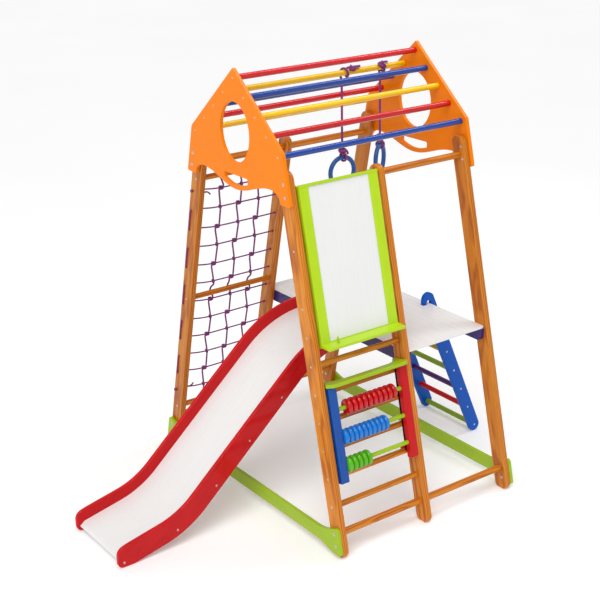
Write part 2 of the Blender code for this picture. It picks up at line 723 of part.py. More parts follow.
def easel_hook_outline():
    """Side outline of a slim hook that drops over the top dowel."""
    m, w, s = DOWEL_R + 0.6, 5.0, FRONT_DOWELS[1]
    n = 8
    pts = [(d0 + 5, s - 36), (d1, s - 36)]
    pts += [(m * math.cos(math.pi * (1 - i / n)), s + m * math.sin(math.pi * (1 - i / n))) for i in range(n + 1)]
    pts += [(m, s - 10), (m + w, s - 10)]
    top = math.acos(d1 / (m + w))
    pts += [((m + w) * math.cos(top * i / n), s + (m + w) * math.sin(top * i / n)) for i in range(n + 1)]
    pts.append((d0 + 5, s + (m + w) * math.sin(top)))
    return pts


hook = easel_hook_outline()
strip = [(d0, EASEL_S[1] - 4), (d0, EASEL_S[0]), (d1, EASEL_S[0]), (d1, EASEL_S[1] - 4)]
side_l = slope_prism(strip, EASEL_X[0], EASEL_X[0] + STRIP_W[0])
ob = link("easel_frame", finish_mesh(side_l, "easel_frame"), "lime")
boolean(ob, cutter(slope_prism(strip, EASEL_X[1] - STRIP_W[1], EASEL_X[1]), "easel_side"), "UNION")
boolean(ob, cutter(slope_prism(hook, EASEL_X[0] + 0.2, EASEL_X[0] + HOOK_W), "easel_hook_left"), "UNION")
boolean(ob, cutter(slope_prism(hook, EASEL_X[1] - HOOK_W, EASEL_X[1] - 0.2), "easel_hook_right"), "UNION")
web = face_prism([(EASEL_X[0] + 8, EASEL_S[0] + 0.5), (EASEL_X[1] - 8, EASEL_S[0] + 0.5), (EASEL_X[1] - 8, TRAY_S + 2), (EASEL_X[0] + 8, TRAY_S + 2)],
                 d0 + 0.5, d1 - 0.5)
boolean(ob, cutter(web, "easel_bottom_rail"), "UNION")


def tray_point(out, down):
    """A point of the level tray: how far out from the strips' face, and how far below its top."""
    return (d0 + 2 - out * math.cos(TILT) + down * math.sin(TILT), TRAY_S - out * math.sin(TILT) - down * math.cos(TILT))


tray = slope_prism([tray_point(0, 0), tray_point(TRAY_OUT - 2, 0), tray_point(TRAY_OUT, 2), tray_point(TRAY_OUT, TRAY_T - 2),
                    tray_point(TRAY_OUT - 2, TRAY_T), tray_point(0, TRAY_T)], EASEL_X[0] - 2, EASEL_X[1] - 1)
boolean(ob, cutter(tray, "easel_tray"), "UNION")
top_bar = face_prism([(EASEL_X[0] + 10, EASEL_S[1] - TOP_RAIL), (EASEL_X[1] - 10, EASEL_S[1] - TOP_RAIL), (EASEL_X[1] - 10, EASEL_S[1]),
                      (EASEL_X[0] + 10, EASEL_S[1])], d0 + 0.4, d0 + 9)
boolean(ob, cutter(top_bar, "easel_top_bar"), "UNION")
peg = bmesh.new()
peg_dep, peg_s = tray_point(22, 4)
cylinder_into(peg, front(-326.0, peg_s, peg_dep), front(-326.0, peg_s + 28, peg_dep), 4.2, 8)
boolean(ob, cutter(peg, "easel_peg"), "UNION")
set_origin(ob, front((EASEL_X[0] + EASEL_X[1]) / 2, hook_s, 0))
smooth(ob, 35)

bm = face_prism([(EASEL_X[0] + STRIP_W[0] + GAP, TRAY_S + 2 + GAP), (EASEL_X[1] - STRIP_W[1] - GAP, TRAY_S + 2 + GAP),
                 (EASEL_X[1] - STRIP_W[1] - GAP, EASEL_S[1] - TOP_RAIL - GAP), (EASEL_X[0] + STRIP_W[0] + GAP, EASEL_S[1] - TOP_RAIL - GAP)],
                d0 + 3, d0 + 11)
ob = link("easel_board", finish_mesh(bm, "easel_board"), "white")
set_origin(ob, front((EASEL_X[0] + EASEL_X[1]) / 2, hook_s, 0))

# ================================================================ abacus
a0, a1 = ABA_DEP
hooks = [FRONT_RUNGS[1], FRONT_RUNGS[4]]
rod_dep = (a0 + a1) / 2
inner = (ABA_X[0] + ABA_W, ABA_X[1] - ABA_W)
for word, xa, xb, col in (("left", ABA_X[0], inner[0], "blue"), ("right", inner[1], ABA_X[1], "red")):
    name = "abacus_rail_" + word
    bm = slope_prism(hook_strip(a0, a1, ABA_S[0], ABA_S[1], hooks, RUNG_R), xa, xb)
    ob = link(name, finish_mesh(bm, name), col)
    set_origin(ob, front((xa + xb) / 2, ABA_S[0], rod_dep))
    cut = bmesh.new()
    for s in ABA_ROWS:
        xi = inner[0] if word == "left" else inner[1]
        sg = 1 if word == "left" else -1
        cylinder_into(cut, front(xi - sg * 14.5, s, rod_dep), front(xi + sg * 5, s, rod_dep), ABA_ROD_R + 0.3, 10)
    boolean(ob, cutter(cut, name + "_holes"))
    smooth(ob, 35)
for word, s in zip(("top", "middle", "bottom"), ABA_ROWS):
    rod("abacus_rod_" + word, front(inner[0] - 14, s, rod_dep), front(inner[1] + 14, s, rod_dep), ABA_ROD_R, "green", 12)

# shelf: wide front edge in front of the posts, two arms that reach back between them
tips = (ABA_X[0] - 8, ABA_X[1] + 8)
sf = -64.0
shelf = [(tips[0], -36.0), (tips[0] + 4, -42.0), (tips[0] + 18, sf + 4), (tips[0] + 30, sf), (tips[1] - 30, sf),
         (tips[1] - 18, sf + 4), (tips[1] - 4, -42.0), (tips[1], -36.0), (ABA_X[1], -34.0), (ABA_X[1], 24.0),
         (ABA_X[1] - 12, 24.0), (ABA_X[1] - 26, 6.0), (ABA_X[1] - 44, -14.0), (ABA_X[1] - 64, -22.0),
         (ABA_X[0] + 64, -22.0), (ABA_X[0] + 44, -14.0), (ABA_X[0] + 26, 6.0), (ABA_X[0] + 12, 24.0),
         (ABA_X[0], 24.0), (ABA_X[0], -34.0)]
bm = prism(shelf, ABA_S[1] + 2 * GAP, ABA_S[1] + 14, lambda a, b, c: front(a, c, b))
ob = link("abacus_shelf", finish_mesh(bm, "abacus_shelf"), "lime")
set_origin(ob, front((tips[0] + tips[1]) / 2, ABA_S[1], -36))
smooth(ob, 35)


def bead_row(name, s, x_start, pitch, thick, count, colour, n=10):
    """A row of round discs on one rod, turned as one piece with narrow hubs."""
    prof = []
    hub = ABA_ROD_R + 5.0
    for i in range(count):
        c = x_start + pitch * i + thick / 2
        h = thick / 2
        prof += [(c - h, hub), (c - h * 0.62, BEAD_R), (c + h * 0.62, BEAD_R)]
        if i == count - 1 or pitch - thick > 0.5:
            prof.append((c + h, hub))
    bore = (ABA_ROD_R + 0.5) / math.cos(math.pi / n)
    prof = [(prof[0][0], bore)] + prof + [(prof[-1][0], bore)]
    bm = bmesh.new()
    loops = []
    for x, r in prof:
        ring = []
        for j in range(n):
            a = 2 * math.pi * (j + 0.5) / n
            ring.append(bm.verts.new(front(x, s + r * math.sin(a), rod_dep + r * math.cos(a))))
        loops.append(ring)
    loops.append(loops[0])
    for lo, hi in zip(loops, loops[1:]):
        for j in range(n):
            bm.faces.new((lo[j], lo[(j + 1) % n], hi[(j + 1) % n], hi[j]))
    ob = link(name, finish_mesh(bm, name), colour)
    set_origin(ob, front(x_start, s, rod_dep))
    smooth(ob, 50)
    return ob


BEAD_T = 20.4
red_pitch = 23.0
red_len = red_pitch * 9 + BEAD_T
bead_row("beads_red", ABA_ROWS[0], (inner[0] + inner[1] - red_len) / 2, red_pitch, BEAD_T, 10, "red")
bead_row("beads_blue", ABA_ROWS[1], inner[0] + GAP, BEAD_T + 0.2, BEAD_T, 10, "sky")
bead_row("beads_green", ABA_ROWS[2], inner[0] + GAP, BEAD_T + 1.4, BEAD_T, 5, "green")


# ================================================================ hanging rings
def spline(points, step):
    """Points every step or so along a smooth curve through the given points."""
    out = [points[0]]
    n = len(points)
    for i in range(n - 1):
        p0 = points[max(i - 1, 0)]
        p1, p2 = points[i], points[i + 1]
        p3 = points[min(i + 2, n - 1)]
        k = max(1, round((p2 - p1).length / step))
        for j in range(1, k + 1):
            t = j / k
            out.append(0.5 * ((2 * p1) + (p2 - p0) * t + (2 * p0 - 5 * p1 + 4 * p2 - p3) * t * t
                              + (3 * p1 - p0 - 3 * p2 + p3) * t ** 3))
    return out


def ring_rope_route(x, top_y, top_z, ring_z, turn):
    """A tail along the top of the bar, nearly one and a half turns round it, down, and round the ring once."""
    r = BAR_R + ROPE_R + 0.8
    wide, tail = (36.0, 84.0) if turn == 0 else (16.0, 31.0)
    pts = [Vector((x + tail, top_y - 6, top_z + r + 1)), Vector((x + (wide + tail) / 2, top_y - 5, top_z + r + 1.5))]
    n = 20
    for i in range(n + 1):
        a = math.radians(190 + 510 * i / n)
        pts.append(Vector((x + wide - wide * i / n, top_y - r * math.sin(a), top_z - r * math.cos(a))))
    pts.append(Vector((x, top_y + 1.0, top_z - 40)))
    length = top_z - ring_z
    for f in (0.3, 0.5, 0.7):
        pts.append(Vector((x, top_y, top_z - length * f)))
    rr = RING_TUBE + ROPE_R + 1.3
    pts.append(Vector((x, top_y, ring_z + 44)))
    m = Matrix.Rotation(turn, 3, "Z")
    n = 9
    for i in range(n + 1):
        b = math.radians(28 + 304 * i / n)
        q = m @ Vector((11 * i / n, rr * math.sin(b), rr * math.cos(b)))
        pts.append(Vector((x, top_y, ring_z)) + q)
    return pts


top_y, top_z = BARS["bar_rear_1"]
for word, x, turn, zt in zip(("left", "right"), RING_X, RING_TURN, RING_TOP):
    cz = zt - RING_TUBE                              # centre of the tube at the ring's top
    name = "ring_rope_" + word
    cu = bpy.data.curves.new(name, "CURVE")
    cu.dimensions = "3D"
    cu.bevel_depth = ROPE_R * MM
    cu.bevel_resolution = 2
    cu.use_fill_caps = True
    cu.render_resolution_u = 0
    route = spline(ring_rope_route(x, top_y, top_z, cz, turn), 18)
    sp = cu.splines.new("POLY")
    sp.points.add(len(route) - 1)
    org = Vector((x, top_y, top_z))
    for p, q in zip(sp.points, route):
        p.co = (*((q - org) * MM), 1.0)
    rgb, rough = COLOURS["rope"]
    cu.materials.append(material(name, rgb, rough))
    ob = bpy.data.objects.new(name, cu)
    ob.location = ((x + X_SHIFT) * MM, top_y * MM, top_z * MM)
    bpy.context.scene.collection.objects.link(ob)
    # the ring hangs below the end of its rope
    name = "ring_" + word
    bm = bmesh.new()
    nu, nv = 24, 6
    m = Matrix.Rotation(turn, 3, "Z")
    loops = []
    for i in range(nu):
        a = 2 * math.pi * i / nu
        ring = []
        for j in range(nv):
            b = 2 * math.pi * (j + 0.5) / nv
            rad = RING_R + RING_TUBE * math.cos(b)
            p = m @ Vector((rad * math.sin(a), RING_TUBE * math.sin(b), rad * math.cos(a) - RING_R))
            ring.append(bm.verts.new(Vector((x, top_y, cz)) + p))
        loops.append(ring)
    for i in range(nu):
        lo, hi = loops[i], loops[(i + 1) % nu]
        for j in range(nv):
            bm.faces.new((lo[j], lo[(j + 1) % nv], hi[(j + 1) % nv], hi[j]))
    ob = link(name, finish_mesh(bm, name), "ring")
    set_origin(ob, (x, top_y, cz))
    smooth(ob, 60)

# ================================================================ climbing net
net = bmesh.new()


def net_box(x0, x1, s0, s1, dep0, dep1, shift=0.0):
    """A square run of rope. shift moves its right end in depth."""
    box_into(net, [rear(x0, s0, dep0), rear(x1, s0, dep0 + shift), rear(x1, s1, dep0 + shift), rear(x0, s1, dep0),
                   rear(x0, s0, dep1), rear(x1, s0, dep1 + shift), rear(x1, s1, dep1 + shift), rear(x0, s1, dep1)])


left_face = POST_X[0] - POST_T / 2 - GAP
right_face = POST_X[1] + POST_T / 2 + GAP
rows = [NET_ROW0 + NET_PITCH * i for i in range(NET_ROWS)]
h = NET_W / 2
first = True
row_objs = []
kink = (POST_X[0] + POST_T / 2 + 3.0, NET_X[0] - 12.0)       # where a row leaves the left post and comes level
for i, s in enumerate(rows):
    net_box(left_face - NET_W + 0.4, kink[0] + 0.6, s - h, s + h, LACE_DEP - h, LACE_DEP + h)
    net_box(kink[0], kink[1] + 0.8, s - h + 0.1, s + h - 0.1, LACE_DEP - h + 0.1, LACE_DEP + h - 0.1, -LACE_DEP)
    net_box(kink[1], right_face + NET_W - 0.4, s - h, s + h, -h, h)
for j, (s0, s1) in enumerate(zip(rows, rows[1:])):
    if j % 2 == 1:                        # lacing on the left post's outer face
        net_box(left_face - NET_W, left_face, s0 - h + 0.4, s1 + h - 0.4, LACE_DEP - h + 0.3, LACE_DEP + h - 0.3)
    elif j == 4:                          # passes behind the platform's side rail
        net_box(right_face, right_face + NET_W, s0 - h + 0.4, s0 + h - 0.5, -28.4, h - 0.3)
        net_box(right_face, right_face + NET_W, s1 - h + 0.5, s1 + h - 0.4, -28.4, h - 0.3)
        net_box(right_face + 0.2, right_face + NET_W - 0.2, s0 - h + 0.8, s1 + h - 0.8, -29.0, -29.0 + NET_W)
    else:
        net_box(right_face, right_face + NET_W, s0 - h + 0.4, s1 + h - 0.4, -h + 0.3, h - 0.3)
for s in (rows[0], rows[-1]):             # end knots outside the left post
    net_box(left_face - 11.0, left_face, s - 7, s + 7, LACE_DEP - 7.5, LACE_DEP + 7.5)
ring_in = RUNG_R + 0.7
t = NET_T
for x in NET_X:
    cuts = [REAR_RUNGS[0], REAR_RUNGS[1], REAR_RUNGS[2]]
    for a, b in zip(cuts, cuts[1:]):
        net_box(x - t / 2, x + t / 2, a + ring_in + 0.6, b - ring_in - 0.6, -t / 2, t / 2)
    for c in cuts:                        # a turn of rope round each rung
        net_box(x - t / 2 - 0.5, x + t / 2 + 0.5, c + ring_in, c + ring_in + t, -ring_in - t + 0.5, ring_in + t - 0.5)
        net_box(x - t / 2 - 0.5, x + t / 2 + 0.5, c - ring_in - t, c - ring_in, -ring_in - t + 0.5, ring_in + t - 0.5)
        net_box(x - t / 2 - 0.1, x + t / 2 + 0.1, c - ring_in - t + 0.7, c + ring_in + t - 0.7, ring_in, ring_in + t)
        net_box(x - t / 2 - 0.1, x + t / 2 + 0.1, c - ring_in - t + 0.7, c + ring_in + t - 0.7, -ring_in - t, -ring_in)
parts = cutter(net, "net_runs")
seed = bmesh.new()
x = NET_X[1]
s = rows[3]
box_into(seed, [rear(x - 5, s - 5, -4.4), rear(x + 5, s - 5, -4.4), rear(x + 5, s + 5, -4.4), rear(x - 5, s + 5, -4.4),
                rear(x - 5, s - 5, 4.4), rear(x + 5, s - 5, 4.4), rear(x + 5, s + 5, 4.4), rear(x - 5, s + 5, 4.4)])
ob = link("climbing_net", finish_mesh(seed, "climbing_net"), "rope")
boolean(ob, parts, "UNION", True)
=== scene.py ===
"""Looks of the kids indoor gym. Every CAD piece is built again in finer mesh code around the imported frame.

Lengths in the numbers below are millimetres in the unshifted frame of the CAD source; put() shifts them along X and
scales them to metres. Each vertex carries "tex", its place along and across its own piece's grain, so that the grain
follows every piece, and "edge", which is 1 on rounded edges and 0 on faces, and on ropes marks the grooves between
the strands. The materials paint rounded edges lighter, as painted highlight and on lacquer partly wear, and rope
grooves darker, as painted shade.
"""

import math
import random

import bpy
import bmesh
from mathutils import Matrix, Vector


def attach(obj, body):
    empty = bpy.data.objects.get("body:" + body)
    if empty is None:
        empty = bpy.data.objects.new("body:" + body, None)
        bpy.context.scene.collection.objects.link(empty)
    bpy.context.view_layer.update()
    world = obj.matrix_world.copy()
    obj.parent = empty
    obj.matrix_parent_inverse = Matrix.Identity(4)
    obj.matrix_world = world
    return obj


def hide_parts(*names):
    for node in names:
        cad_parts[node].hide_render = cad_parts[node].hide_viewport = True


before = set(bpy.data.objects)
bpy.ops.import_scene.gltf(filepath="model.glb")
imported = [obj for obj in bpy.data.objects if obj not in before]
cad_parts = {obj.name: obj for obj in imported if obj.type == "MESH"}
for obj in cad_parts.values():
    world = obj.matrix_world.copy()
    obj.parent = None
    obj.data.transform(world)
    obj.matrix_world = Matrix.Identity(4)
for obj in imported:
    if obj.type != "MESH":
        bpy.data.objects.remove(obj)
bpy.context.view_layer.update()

MM = 0.001
GAP = 0.3
# ---------------------------------------------------------------- numbers repeated from the CAD source
TILT = 0.22
FOOT_Y = 575.0
POST_X = (-406.0, -8.0, 406.0)
POST_T, POST_D = 26.0, 64.0
POST_TOP_OUTER, POST_TOP_MID = 1407.0, 1365.0
FOOT_C = 26.5
DOWEL_R, RUNG_R = 13.0, 11.0
FRONT_DOWELS = (84.0, 1332.0)
REAR_DOWELS = (133.0, 1320.0)
RUNG_PITCH = 104.0
FRONT_RUNGS = [FRONT_DOWELS[0] + RUNG_PITCH * k for k in range(1, 7)]
HIDDEN_RUNGS = [FRONT_DOWELS[0] + RUNG_PITCH * k for k in (7, 8, 10)]
REAR_RUNGS = (183.0, 715.0, 1253.0)
TENON = 11.0
PLATE = 15.0
APEX_Z = 1695.0
SHOULDER = (292.0, 1437.0)
LEG_TIP = (334.0, 1256.0)
LEG_IN = 276.0
ARCH_Y, ARCH_Z, LOBE_Z = 218.0, 1298.0, 1252.0
OVAL_Z, OVAL_H, OVAL_W = 1464.0, 111.0, 94.0
SMILE_W, SMILE_Z, SMILE_TOP = 75.0, 1268.0, 1305.0
BAR_R = 11.5
BARS = {"bar_apex": (0.0, 1660.0, "red"),
        "bar_front_1": (-66.0, 1599.0, "blue"), "bar_front_2": (-133.0, 1540.0, "yellow"),
        "bar_front_3": (-199.0, 1482.0, "red"), "bar_front_4": (-266.0, 1424.0, "blue"),
        "bar_rear_1": (66.0, 1599.0, "yellow"), "bar_rear_2": (133.0, 1540.0, "blue"),
        "bar_rear_3": (199.0, 1482.0, "red"), "bar_rear_4": (266.0, 1424.0, "yellow")}
BASE_LO, BASE_HI = 33.0, 86.0
BOARD_TOP, BOARD_T, BOARD_Y = 652.0, 10.0, 450.0
SIDE_T, SIDE_H, SIDE_Y = 18.0, 50.0, 452.0
SLIDE_Y0, SLIDE_W, RAIL_T = 5.0, 335.0, 15.0
RAIL_UP, RAIL_DN, BED_T = 45.0, 44.0, 6.0
LIP_X, CREST_R, SLOPE = -20.0, 420.0, math.radians(41.5)
RUN_X, RUNOUT_R, RUNOUT = -745.0, 350.0, math.radians(12.0)
SLIDE_END = -1092.0
BATTEN_X = (-378.0, -529.0, -682.0, -850.0)
LADDER_Y = (-145.0, 175.0)
LADDER_T, LADDER_W = 18.0, 55.0
LADDER_TOP, LADDER_FOOT = (388.0, 640.0), (659.0, 27.5)
LADDER_N, LADDER_PITCH, ARCH_TOP = 5, 105.8, 700.0
EASEL_X, EASEL_S, EASEL_DEP = (-384.0, -35.0), (770.0, 1351.0), (-38.0, -14.0)
STRIP_W, TOP_RAIL, HOOK_W = (39.0, 42.0), 11.0, 10.0
TRAY_S, TRAY_OUT, TRAY_T = 784.0, 46.0, 12.0
ABA_X, ABA_S, ABA_DEP = (-388.0, -26.0), (270.0, 626.0), (-42.0, -16.0)
ABA_W, ABA_ROD_R, ABA_ROWS = 35.0, 8.0, (538.0, 434.0, 331.0)
BEAD_R, BEAD_T = 29.0, 20.4
RING_X, RING_TURN, RING_TOP = (107.0, 297.0), (0.0, math.radians(34.0)), (1277.0, 1297.0)
RING_R, RING_TUBE, ROPE_R = 58.0, 9.0, 4.5
NET_ROW0, NET_PITCH, NET_ROWS = 260.0, 85.0, 12
NET_X, NET_W, NET_T, LACE_DEP = (-301.0, -209.5, -118.0), 6.4, 7.4, -16.0
X_SHIFT = -0.5 * (SLIDE_END + LADDER_FOOT[0] + LADDER_W / 2)


# ================================================================ materials
def srgb(r, g, b):
    def one(c):
        c /= 255.0
        return c / 12.92 if c <= 0.04045 else ((c + 0.055) / 1.055) ** 2.4
    return (one(r), one(g), one(b), 1.0)


class Nodes:
    """Short names for building one material's node tree."""

    def __init__(self, name):
        self.mat = bpy.data.materials.new(name)
        self.mat.use_nodes = True
        self.nt = self.mat.node_tree
        self.nt.nodes.clear()
        self.out = self.nt.nodes.new("ShaderNodeOutputMaterial")
        self.bsdf = self.nt.nodes.new("ShaderNodeBsdfPrincipled")
        self.nt.links.new(self.bsdf.outputs[0], self.out.inputs[0])
        self.x = -200

    def put(self, socket, value):
        if isinstance(value, bpy.types.NodeSocket):
            self.nt.links.new(value, socket)
        elif value is not None:
            socket.default_value = value

    def new(self, kind):
        n = self.nt.nodes.new(kind)
        n.location = (self.x, random.Random(len(self.nt.nodes)).random() * 600)
        self.x -= 60
        return n

    def attr(self, name):
        n = self.new("ShaderNodeAttribute")
        n.attribute_name = name
        return n

    def vmul(self, v, scale, add=(0, 0, 0)):
        n = self.new("ShaderNodeVectorMath")
        n.operation = "MULTIPLY_ADD"
        self.put(n.inputs[0], v)
        n.inputs[1].default_value = scale
        n.inputs[2].default_value = add
        return n.outputs[0]

    def math(self, op, a, b=0.0, c=0.0, clamp=False):
        n = self.new("ShaderNodeMath")
        n.operation = op
        n.use_clamp = clamp
        self.put(n.inputs[0], a)
        self.put(n.inputs[1], b)
        self.put(n.inputs[2], c)
        return n.outputs[0]

    def noise(self, v, scale=1.0, detail=3.0, rough=0.55, distortion=0.0):
        n = self.new("ShaderNodeTexNoise")
        self.put(n.inputs["Vector"], v)
        n.inputs["Scale"].default_value = scale
        n.inputs["Detail"].default_value = detail
        n.inputs["Roughness"].default_value = rough
        n.inputs["Distortion"].default_value = distortion
        return n.outputs["Fac"]

    def ramp(self, fac, stops):
        n = self.new("ShaderNodeValToRGB")
        el = n.color_ramp.elements
        while len(el) < len(stops):
            el.new(0.5)
        for e, (p, c) in zip(el, stops):
            e.position = p
            e.color = c if len(c) == 4 else (*c, 1.0)
        self.put(n.inputs[0], fac)
        return n.outputs[0]

    def remap(self, v, lo, hi, to_lo, to_hi):
        n = self.new("ShaderNodeMapRange")
        self.put(n.inputs[0], v)
        for k, x in zip((1, 2, 3, 4), (lo, hi, to_lo, to_hi)):
            n.inputs[k].default_value = x
        return n.outputs[0]

    def mix(self, fac, a, b, mode="MIX"):
        n = self.new("ShaderNodeMix")
        n.data_type = "RGBA"
        n.blend_type = mode
        self.put(n.inputs[0], fac)
        self.put(n.inputs[6], a)
        self.put(n.inputs[7], b)
        return n.outputs[2]

    def bump(self, height, strength, distance=0.001):
        n = self.new("ShaderNodeBump")
        n.inputs["Strength"].default_value = strength
        n.inputs["Distance"].default_value = distance
        self.put(n.inputs["Height"], height)
        return n.outputs[0]


def shade(c, k):
    return (min(1, c[0] * k), min(1, c[1] * k), min(1, c[2] * k), 1.0)


def wood(name, light, mid, dark):
    """Varnished straight-grained wood: growth rings, fibres, short pores and a satin coat."""
    m = Nodes(name)
    tex = m.attr("tex").outputs["Vector"]
    sep = m.new("ShaderNodeSeparateXYZ")
    m.put(sep.inputs[0], tex)
    wander = m.noise(m.vmul(tex, (3.0, 14.0, 14.0)), 1.0, 2.0)
    u, v, w = sep.outputs
    v2 = m.math("ADD", v, m.math("MULTIPLY", wander, 0.030))
    r = m.math("SQRT", m.math("ADD", m.math("MULTIPLY", v2, v2), m.math("MULTIPLY", w, m.math("MULTIPLY", w, 0.25))))
    rings = m.math("MULTIPLY_ADD", m.math("SINE", m.math("MULTIPLY", r, 2 * math.pi / 0.0075)), 0.5, 0.5)
    rings = m.math("POWER", rings, 1.8)
    broad = m.noise(m.vmul(tex, (1.6, 30.0, 30.0)), 1.0, 3.0, 0.6)
    fibre = m.noise(m.vmul(tex, (7.0, 420.0, 420.0)), 1.0, 5.0, 0.65)
    pores = m.noise(m.vmul(tex, (38.0, 1500.0, 1500.0)), 1.0, 2.0, 0.5)
    pore = m.remap(pores, 0.60, 0.70, 0.0, 1.0)
    mixed = m.math("ADD", m.math("MULTIPLY", rings, 0.30),
                   m.math("ADD", m.math("MULTIPLY", broad, 0.50), m.math("MULTIPLY", fibre, 0.50)))
    col = m.ramp(mixed, [(0.36, light), (0.60, mid), (0.88, dark)])
    col = m.mix(m.math("MULTIPLY", pore, 0.34), col, shade(dark, 0.55))
    tone = m.attr("tone").outputs["Fac"]
    col = m.mix(1.0, col, m.ramp(tone, [(0.0, (0.80, 0.78, 0.76, 1)), (1.0, (1.10, 1.10, 1.12, 1))]), "MULTIPLY")
    edge = m.attr("edge").outputs["Fac"]
    # rounded edges painted lighter: a painted highlight
    col = m.mix(m.math("MULTIPLY", edge, 0.22), col, shade(light, 1.06))
    m.put(m.bsdf.inputs["Base Color"], col)
    m.put(m.bsdf.inputs["Roughness"], m.remap(fibre, 0.3, 0.75, 0.32, 0.48))
    m.bsdf.inputs["Specular IOR Level"].default_value = 0.22
    m.bsdf.inputs["Coat Weight"].default_value = 0.14
    m.bsdf.inputs["Coat Roughness"].default_value = 0.14
    h = m.math("SUBTRACT", m.math("ADD", m.math("MULTIPLY", fibre, 0.6), m.math("MULTIPLY", rings, 0.25)),
               m.math("MULTIPLY", pore, 0.7))
    m.put(m.bsdf.inputs["Normal"], m.bump(h, 0.22, 0.0006))
    return m.mat


def lacquer(name, rgb, rough=0.30, grain=0.06, coat=0.22, vary=0.10, edge_wear_and_highlight=0.22, spec=0.22):
    """Coloured gloss lacquer over wood: a trace of grain, uneven film, and paler rounded edges, partly thinner film and
    partly painted highlight.
    """
    m = Nodes(name)
    tex = m.attr("tex").outputs["Vector"]
    fibre = m.noise(m.vmul(tex, (9.0, 330.0, 330.0)), 1.0, 4.0, 0.6)
    cloud = m.noise(m.vmul(tex, (9.0, 22.0, 22.0)), 1.0, 3.0, 0.5)
    film = m.noise(m.vmul(tex, (420.0, 420.0, 420.0)), 1.0, 2.0, 0.5)
    specks = m.remap(m.noise(m.vmul(tex, (700.0, 700.0, 700.0)), 1.0, 1.0, 0.5), 0.70, 0.76, 0.0, 1.0)
    c = rgb
    both = m.math("ADD", m.math("MULTIPLY", cloud, 0.62), m.math("MULTIPLY", fibre, 0.38))
    col = m.ramp(both, [(0.32, shade(c, 1.0 - vary)), (0.52, c), (0.72, shade(c, 1.0 + vary * 0.8))])
    col = m.mix(m.math("MULTIPLY", specks, 0.16), col, shade(c, 0.70))
    tone = m.attr("tone").outputs["Fac"]
    col = m.mix(1.0, col, m.ramp(tone, [(0.0, (0.95, 0.95, 0.95, 1)), (1.0, (1.04, 1.04, 1.04, 1))]), "MULTIPLY")
    edge = m.attr("edge").outputs["Fac"]
    # rounded edges painted paler: partly rubbed, thinner film, partly a painted highlight
    edge_rub_and_highlight = m.math("MULTIPLY", edge, m.remap(cloud, 0.35, 0.65, 0.35, 1.0))
    pale = tuple(min(1.0, x * 1.18 + 0.02) for x in c[:3]) + (1.0,)
    col = m.mix(m.math("MULTIPLY", edge_rub_and_highlight, edge_wear_and_highlight), col, pale)
    m.put(m.bsdf.inputs["Base Color"], col)
    m.put(m.bsdf.inputs["Roughness"], m.remap(both, 0.3, 0.7, rough - 0.05, rough + 0.10))
    m.bsdf.inputs["Specular IOR Level"].default_value = spec
    m.bsdf.inputs["Coat Weight"].default_value = coat
    m.bsdf.inputs["Coat Roughness"].default_value = 0.07
    h = m.math("ADD", m.math("MULTIPLY", fibre, 0.7), m.math("MULTIPLY", film, 0.25))
    m.put(m.bsdf.inputs["Normal"], m.bump(h, grain, 0.0006))
    return m.mat


def laminate(name, rgb, rough=0.24):
    """Smooth white laminated board with faint lengthwise polish lines."""
    m = Nodes(name)
    tex = m.attr("tex").outputs["Vector"]
    cloud = m.noise(m.vmul(tex, (5.0, 6.0, 6.0)), 1.0, 3.0, 0.55)
    lines = m.noise(m.vmul(tex, (5.0, 520.0, 520.0)), 1.0, 4.0, 0.65)
    rubs = m.remap(m.noise(m.vmul(tex, (3.0, 210.0, 90.0)), 1.0, 2.0, 0.5), 0.62, 0.74, 0.0, 1.0)
    col = m.ramp(m.math("ADD", m.math("MULTIPLY", cloud, 0.7), m.math("MULTIPLY", lines, 0.3)),
                 [(0.3, shade(rgb, 0.975)), (0.7, shade(rgb, 1.01))])
    col = m.mix(m.math("MULTIPLY", rubs, 0.12), col, shade(rgb, 0.93))
    edge = m.attr("edge").outputs["Fac"]
    col = m.mix(m.math("MULTIPLY", edge, 0.35), col, (0.78, 0.74, 0.66, 1.0))
    m.put(m.bsdf.inputs["Base Color"], col)
    m.put(m.bsdf.inputs["Roughness"], m.remap(lines, 0.3, 0.7, rough - 0.03, rough + 0.12))
    m.bsdf.inputs["Specular IOR Level"].default_value = 0.35
    m.bsdf.inputs["Coat Weight"].default_value = 0.25
    m.bsdf.inputs["Coat Roughness"].default_value = 0.08
    m.put(m.bsdf.inputs["Normal"], m.bump(m.math("ADD", lines, m.math("MULTIPLY", rubs, 0.5)), 0.03, 0.0004))
    return m.mat


def moulded(name, rgb):
    """Moulded plastic: fine texture from the mould, slightly uneven gloss."""
    m = Nodes(name)
    tex = m.attr("tex").outputs["Vector"]
    fine = m.noise(m.vmul(tex, (900.0, 900.0, 900.0)), 1.0, 2.0, 0.5)
    cloud = m.noise(m.vmul(tex, (30.0, 30.0, 30.0)), 1.0, 3.0, 0.5)
    m.put(m.bsdf.inputs["Base Color"], m.ramp(cloud, [(0.3, shade(rgb, 0.88)), (0.7, shade(rgb, 1.12))]))
    m.put(m.bsdf.inputs["Roughness"], m.remap(cloud, 0.3, 0.7, 0.24, 0.38))
    m.put(m.bsdf.inputs["Normal"], m.bump(fine, 0.10, 0.0004))
    return m.mat


